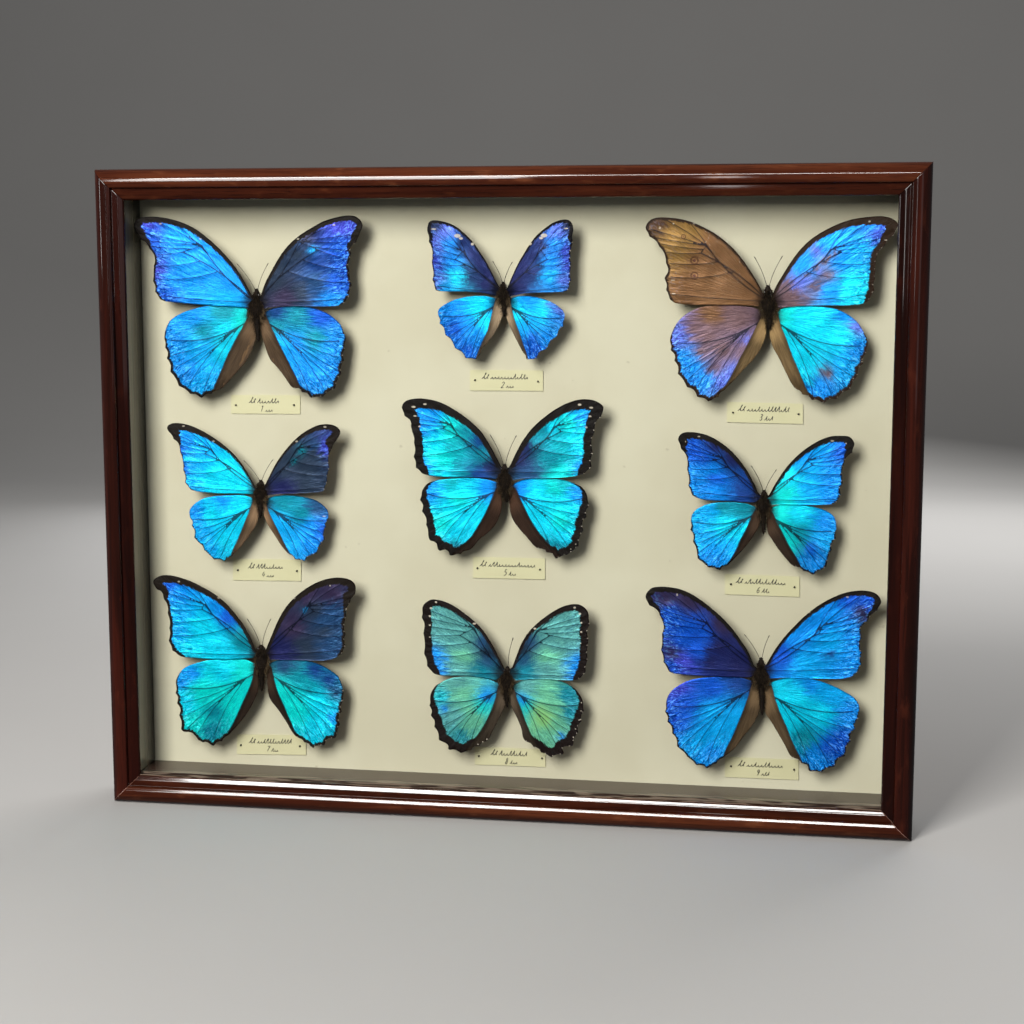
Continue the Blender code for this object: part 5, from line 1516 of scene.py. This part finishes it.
def body_of(number, insect, size, dice):
    """Head, thorax and abdomen with fur, eyes and antennae."""
    per_span = 20
    spine = curve_through([spot(insect, p) for p in insect["body"]], per_span)
    # One point more in front of the head.
    spine = np.vstack([spine[0] * 2.0 - spine[8], spine])
    rings = curve_through(BODY_RINGS, 3)
    sides = 20
    verts = []
    centres = []
    for along, wide, thick in rings:
        k = along * per_span + 1.0 if along >= 0.0 else 1.0 + along / 0.2
        k = np.clip(k, 0.0, len(spine) - 1.001)
        i = int(k)
        x, z = spine[i] + (spine[i + 1] - spine[i]) * (k - i)
        # The rings of the abdomen.
        segment = 0.07 * math.sin(along * 40.0) if along > 1.9 else 0.0
        wide = max(wide, 0.1) * size
        thick = max(thick, 0.1) * size
        centres.append((x, z, wide, thick))
        for turn in turns(sides):
            lumps = noise.noise((x * 0.9 + math.cos(turn) * 2.0, z * 0.9, math.sin(turn) * 2.0))
            rough = 1.0 + segment + 0.09 * lumps
            across = x + wide * rough * math.cos(turn)
            verts.append(point(across, z, BODY_DEPTH + thick * rough * math.sin(turn)))
    faces = rings_to_faces(len(rings), sides, capped=True)
    pale = [0.0] * len(verts)

    def hair(x, z, depth, lean, length, thick, light):
        """A tapered blade of three faces that meet at its tip."""
        start = Vector((x, z, depth))
        lean = Vector(lean).normalized()
        across = lean.orthogonal().normalized()
        other = lean.cross(across)
        bend = start + lean * length * 0.6 + Vector((0.0, -0.12 * length, 0.0))
        tip = start + lean * length + Vector((0.0, -0.35 * length, 0.05 * length))
        first = len(verts)
        for middle, radius in ((start, thick), (bend, thick * 0.6)):
            for turn in turns(3):
                verts.append(point(*(middle + (across * math.cos(turn) + other * math.sin(turn)) * radius)))
        verts.append(point(*tip))
        pale.extend([light] * 7)
        for k in range(3):
            n = (k + 1) % 3
            faces.append((first + k, first + n, first + 3 + n, first + 3 + k))
            faces.append((first + 3 + k, first + 3 + n, first + 6))
        faces.append((first + 2, first + 1, first))

    # Fur all over the head and thorax, thinner on the abdomen.
    for k in range(FUR_HAIRS):
        ring = centres[int(dice.triangular(3, len(centres) - 4, len(centres) * 0.42))]
        turn = dice.uniform(math.pi, 2.0 * math.pi)
        x = ring[0] + ring[2] * 0.95 * math.cos(turn)
        depth = BODY_DEPTH + ring[3] * 0.95 * math.sin(turn)
        lean = (math.cos(turn) * 0.9 + dice.uniform(-0.4, 0.4), dice.uniform(-1.2, 0.3),
                0.7 * math.sin(turn) + dice.uniform(-0.2, 0.2))
        hair(x, ring[1], depth, lean, dice.uniform(1.0, 2.8) * size, 0.1,
             dice.choice((0.0, 0.0, 0.1, 0.35)))
    # Two short feelers of hair at the front of the head.
    for k in range(FEELER_HAIRS):
        hand = -1.0 if k % 2 else 1.0
        lean = (hand * dice.uniform(0.0, 0.35), 1.0, dice.uniform(-0.3, 0.1))
        x, z = centres[FEELER_RING][:2]
        hair(x + hand * dice.uniform(0.3, 1.0) * size, z, WING_DEPTH + 0.2, lean,
             dice.uniform(1.0, 2.2) * size, 0.1, 0.0)
    # Longer pale hairs that lie over the roots of the wings and the folds.
    for k in range(PALE_HAIRS):
        hand = -1.0 if k % 2 else 1.0
        ring = centres[int(len(centres) * dice.uniform(0.42, 0.66))]
        lean = (hand * dice.uniform(0.25, 0.8), -1.0, dice.uniform(-0.1, 0.08))
        hair(ring[0] + hand * ring[2] * dice.uniform(0.6, 0.95), ring[1], WING_DEPTH - 0.3 * size, lean,
             dice.uniform(2.5, 6.0) * size, 0.09, dice.choice((0.2, 0.45, 0.7)))
    body = solid("body_%d" % number, verts, faces, fur)
    tidy_normals(body)
    store(body, "pale", pale)
    eyes_of(number, centres[EYE_RING], size)
    for hand, tip in zip((-1.0, 1.0), insect["horns"]):
        if tip:
            antenna(number, hand, centres[HORN_RING], spot(insect, tip), size)


def eyes_of(number, head, size):
    """Two flattened round beads on the sides of the head."""
    ball = 1.2 * size
    rows = 9
    sides = 12
    verts = []
    faces = []
    for hand in (-1.0, 1.0):
        first = len(verts)
        for up in range(rows):
            lat = math.pi * (up / (rows - 1.0) - 0.5)
            for lon in turns(sides):
                verts.append(point(head[0] + hand * 1.75 * size + ball * 0.75 * math.sin(lat),
                                   head[1] + ball * math.cos(lat) * math.sin(lon),
                                   WING_DEPTH + 0.3 + ball * math.cos(lat) * math.cos(lon)))
        faces.extend(rings_to_faces(rows, sides, offset=first))
    eyes = solid("eyes_%d" % number, verts, faces, eye)
    tidy_normals(eyes, weld=True)


def horn_paint():
    """Dark brown, faintly banded."""
    horn = Paint("antenna", rough=0.5)
    bands = horn.noise(horn.place(), 3000.0, 1.0)
    horn.set("Base Color", horn.mix(bands, shade(16, 11, 8), shade(52, 36, 22)))
    return horn


horn = horn_paint()


def antenna(number, hand, head, tip, size):
    """A fine curved stalk that thickens to a club."""
    sides = 8
    steps = 28
    start = np.array([head[0] + hand * 0.5 * size, head[1] + 0.4])
    end = np.array(tip)
    verts = []
    for k in range(steps + 1):
        share = k / steps
        out = hand * -0.045 * np.linalg.norm(end - start) * math.sin(math.pi * share)
        x, z = start + (end - start) * share + np.array([out, 0.0])
        club = math.exp(-((share - 0.95) / 0.045) ** 2)
        closing = 0.25 if k == steps else 1.0
        radius = (0.17 + 0.17 * club) * closing * (1.0 + 0.06 * math.sin(share * 180.0))
        depth = WING_DEPTH + 0.4 - 1.2 * share
        for turn in turns(sides):
            verts.append(point(x + radius * math.cos(turn), z, depth + radius * math.sin(turn)))
    faces = rings_to_faces(steps + 1, sides, capped=True)
    name = "antenna_%d_%s" % (number, "left" if hand < 0 else "right")
    obj = solid(name, verts, faces, horn)
    tidy_normals(obj)


# The tip to tip width in mm at which a body has the full sizes.
FULL_SPAN = 140.0
for number, insect in INSECTS.items():
    dice = random.Random(100 + number)
    across = spot(insect, insect["RF"][0][-1])[0] - spot(insect, insect["LF"][0][-1])[0]
    size = 0.45 + 0.55 * across / FULL_SPAN
    wings_of(number, insect, LOOKS[number])
    body_of(number, insect, size, dice)


def card_paint():
    """Cream label card, a little yellower than the board."""
    card = Paint("label card", rough=0.7)
    cloud = card.noise(card.place(), 70.0, 3.0)
    tooth = card.noise(card.place(), 2300.0, 2.0)
    colour = card.mix(cloud, shade(204, 199, 156), shade(216, 211, 170))
    card.set("Base Color", card.mix(card.span(tooth, 0.4, 0.8, 0.0, 0.2), colour, shade(186, 178, 132)))
    card.set("Normal", card.bump(tooth, 0.3, 0.00005))
    return card


def ink_paint():
    """Black writing ink, browned here and there."""
    ink = Paint("black ink", rough=0.55)
    fade = ink.noise(ink.place(), 900.0, 2.0)
    ink.set("Base Color", ink.mix(fade, shade(16, 15, 12), shade(56, 50, 36)))
    return ink


card = card_paint()
ink = ink_paint()
CARD_DEPTH = BOARD_FRONT - 0.75

# Labels, in picture pixels: the top left and bottom right corner, the drop along the top edge, and
# the two pins.
LABELS = {
    1: ((231, 395), (300, 414), 0.5, (236, 405), (294, 405)),
    2: ((470, 370), (543, 391), 0.5, (475, 380), (538, 381.5)),
    3: ((727, 402), (803, 424), 1.8, (733, 412.5), (798.5, 414)),
    4: ((233, 559), (301, 581), 0.8, (238, 570), (297, 571)),
    5: ((473, 557), (545, 579.5), 1.6, (477.5, 568), (540, 569.5)),
    6: ((725, 574), (799.5, 597), 2.8, (731, 584), (794.5, 587)),
    7: ((237, 734.5), (306, 755), 1.0, (241, 745), (300, 746)),
    8: ((475, 747), (545.5, 767), 2.5, (479, 756), (542, 758)),
    9: ((725, 757), (798.5, 780), 3.0, (731, 766), (794, 769.5)),
}


def ribbon(verts, faces, line, wide):
    """A flat pen stroke of changing width along a line, just off the card."""
    line = np.array(line)
    run = np.gradient(line, axis=0)
    side = np.column_stack([-run[:, 1], run[:, 0]]) / np.maximum(np.linalg.norm(run, axis=1), 1e-9)[:, None]
    first = len(verts)
    for k, (place, out) in enumerate(zip(line, side)):
        press = wide * (0.45 + 0.55 * abs(math.sin(0.9 * k)))
        press *= min(1.0, 0.3 + 0.35 * min(k, len(line) - 1 - k))
        for depth in (-0.06, 0.02):
            for hand in (-0.5, 0.5):
                verts.append(point(*(place + out * press * hand), CARD_DEPTH + depth))
    for k in range(len(line) - 1):
        a, b = first + 4 * k, first + 4 * k + 4
        for p, q in ((0, 1), (1, 3), (3, 2), (2, 0)):
            faces.append((a + p, a + q, b + q, b + p))
    last = len(verts) - 4
    faces.append((first, first + 2, first + 3, first + 1))
    faces.append((last, last + 1, last + 3, last + 2))


# Numerals as pen strokes in a box one wide and two high.
NUMERALS = {
    1: [[(0.2, 1.5), (0.6, 2.0), (0.35, 0.0)]],
    2: [[(0.15, 1.5), (0.4, 2.0), (0.85, 1.75), (0.7, 1.1), (0.05, 0.05), (0.45, 0.12), (0.95, 0.0)]],
    3: [[(0.2, 1.8), (0.6, 2.0), (0.85, 1.6), (0.4, 1.1), (0.8, 0.75), (0.6, 0.1), (0.05, 0.2)]],
    4: [[(0.55, 2.0), (0.05, 0.75), (0.95, 0.75)], [(0.75, 1.4), (0.6, 0.0)]],
    5: [[(0.9, 2.0), (0.35, 1.95), (0.25, 1.2), (0.7, 1.15), (0.8, 0.5), (0.4, 0.0), (0.05, 0.2)]],
    6: [[(0.85, 1.95), (0.35, 1.4), (0.1, 0.6), (0.35, 0.0), (0.8, 0.35), (0.6, 0.95), (0.2, 0.7)]],
    7: [[(0.1, 1.85), (0.55, 1.95), (1.0, 1.9), (0.55, 0.9), (0.3, 0.0)]],
    8: [[(0.8, 1.7), (0.45, 2.0), (0.3, 1.5), (0.7, 0.9), (0.55, 0.0), (0.1, 0.4), (0.5, 1.05),
         (0.85, 1.65)]],
    9: [[(0.8, 1.5), (0.45, 1.1), (0.2, 1.6), (0.55, 2.0), (0.85, 1.5), (0.7, 0.7), (0.35, 0.0)]],
}


def swash(start, tall, tilt):
    """Two big slanting pen loops that open a line of writing, no letter."""
    line = []
    for share in np.linspace(0.0, 1.0, 29):
        turn = 4.0 * math.pi * share
        y = 0.5 * tall * (1.0 - math.cos(turn)) * (1.0 - 0.45 * share)
        x = tall * share - 0.2 * tall + 0.12 * tall * math.sin(turn) + 0.5 * y
        line.append((start[0] + x, start[1] + y + tilt * x))
    return line


def flourish(start, length, height, loops, tilt, dice):
    """A row of slanting pen loops of uneven height, no letters."""
    tall = [height * dice.choice((0.35, 0.4, 0.45, 0.9, 1.0)) for _ in range(loops + 1)]
    swing = [dice.uniform(0.1, 0.5) for _ in range(loops + 1)]
    steps = 12
    line = []
    for k in range(loops * steps + 1):
        turn = 2.0 * math.pi * k / steps
        loop = k // steps
        y = tall[loop] * 0.5 * (1.0 - math.cos(turn))
        x = length * k / (loops * steps) + swing[loop] * math.sin(turn) + 0.4 * y
        line.append((start[0] + x, start[1] + y + tilt * x))
    return line


# How much of the card's width the first line of writing takes.
LINE_SHARE = {1: 0.42, 2: 0.62, 3: 0.66, 4: 0.5, 5: 0.76, 6: 0.66, 7: 0.6, 8: 0.5, 9: 0.6}
# In mm: the pen's width, the height and length of the two opening loops, and how much of the line
# each later loop takes.
PEN = 0.55
SWASH_TALL = 4.3
SWASH_LONG = 4.6
LOOP_LONG = 1.9


def label(number):
    """The writing on one card and the card's two pins."""
    corner, far, drop, pin_a, pin_b = LABELS[number]
    level = (corner[1] + far[1]) / 2.0
    left = np.array(on_depth(corner[0], level - drop / 2.0, CARD_DEPTH))
    right = np.array(on_depth(far[0], level + drop / 2.0, CARD_DEPTH))
    tilt = (right[1] - left[1]) / (right[0] - left[0])
    middle = (left + right) / 2.0
    verts = []
    faces = []
    dice = random.Random(40 + number)
    # The first line is as long as the photo's, the second has the numeral.
    reach = LINE_SHARE[number] * (right[0] - left[0])
    first = middle + np.array([-0.5 * reach - 0.6, 0.9 - 0.5 * tilt * reach])
    ribbon(verts, faces, swash(first, SWASH_TALL, tilt), PEN)
    rest = reach - SWASH_LONG
    second = first + np.array([SWASH_LONG, SWASH_LONG * tilt])
    ribbon(verts, faces, flourish(second, rest, 3.1, int(rest / LOOP_LONG), tilt, dice), PEN)
    start = middle + np.array([-3.4, -4.6 - 3.0 * tilt])
    for stroke in NUMERALS[number]:
        places = [(start[0] + 1.8 * x + 0.4 * y, start[1] + 1.85 * y + tilt * x) for x, y in stroke]
        ribbon(verts, faces, curve_through(places, 5), PEN)
    ribbon(verts, faces, flourish(middle + np.array([-0.4, -4.5]), 5.0, 2.6, 3, tilt, dice), 0.5)
    obj = solid("label_ink_%d" % number, verts, faces, ink, smooth=False)
    tidy_normals(obj)
    dress("label_%d" % number, card)
    for letter, place in (("a", pin_a), ("b", pin_b)):
        label_pin("%d%s" % (number, letter), *on_depth(place[0], place[1], CARD_DEPTH))


# A label pin from its head to its point: depth behind the card's front and radius, in mm.
PIN_STEPS = [(-0.98, 0.05), (-0.95, 0.25), (-0.88, 0.42), (-0.76, 0.55), (-0.6, 0.6), (-0.45, 0.58),
             (-0.36, 0.5), (-0.32, 0.26), (3.0, 0.25), (4.2, 0.08)]


def label_pin(name, x, z):
    """A small rounded pin head with its shank going into the board."""
    sides = 18
    verts = []
    for depth, radius in PIN_STEPS:
        for turn in turns(sides):
            verts.append(point(x + radius * math.cos(turn), z + radius * math.sin(turn),
                               CARD_DEPTH + depth))
    faces = rings_to_faces(len(PIN_STEPS), sides, capped=True)
    obj = solid("pin_head_" + name, verts, faces, pin_metal)
    tidy_normals(obj)
    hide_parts("label_pin_" + name)


for number in LABELS:
    label(number)


# A framer's point seen from behind: out from the rail's inner face, and sideways, in mm.
TAB = [(3.0, -2.0), (3.0, 2.0), (-1.0, 5.0), (-7.0, 5.0), (-9.0, 3.2), (-9.0, -3.2), (-7.0, -5.0),
       (-1.0, -5.0)]
# Its flat part and its bent tip, by corner.
TAB_PARTS = ((0, 1, 2, 3, 6, 7), (3, 4, 5, 6))


def panel_points():
    """Framer's points: thin steel tabs pressed into the rails that hold the back panel in."""
    verts = []
    faces = []
    inner = WIDE / 2.0 - WALL
    tall = TALL / 2.0 - WALL
    places = [(x, TALL / 2.0 + s * tall, 0.0, s) for x in (-165.0, 0.0, 165.0) for s in (-1.0, 1.0)]
    # The hanger is in the middle at the top.
    places = [p for p in places if not (p[0] == 0.0 and p[3] > 0.0)]
    places += [(s * inner, TALL / 2.0 + z, s, 0.0) for z in (-110.0, 110.0) for s in (-1.0, 1.0)]
    for x, z, out_x, out_z in places:
        first = len(verts)
        for lift in (0.05, 0.5):
            for along, side in TAB:
                tip = 0.9 if along < -8.0 and lift > 0.2 else 0.0
                verts.append(point(x + along * out_x + side * out_z, z + along * out_z - side * out_x,
                                   PANEL_BACK + lift + tip))
        faces.extend(rings_to_faces(2, len(TAB), offset=first))
        for base in (first, first + len(TAB)):
            for part in TAB_PARTS:
                faces.append(tuple(base + k for k in part))
    steel = metal_paint("point steel", shade(168, 168, 164), 0.36)
    obj = solid("panel_points", verts, faces, steel, smooth=False)
    tidy_normals(obj)


panel_points()
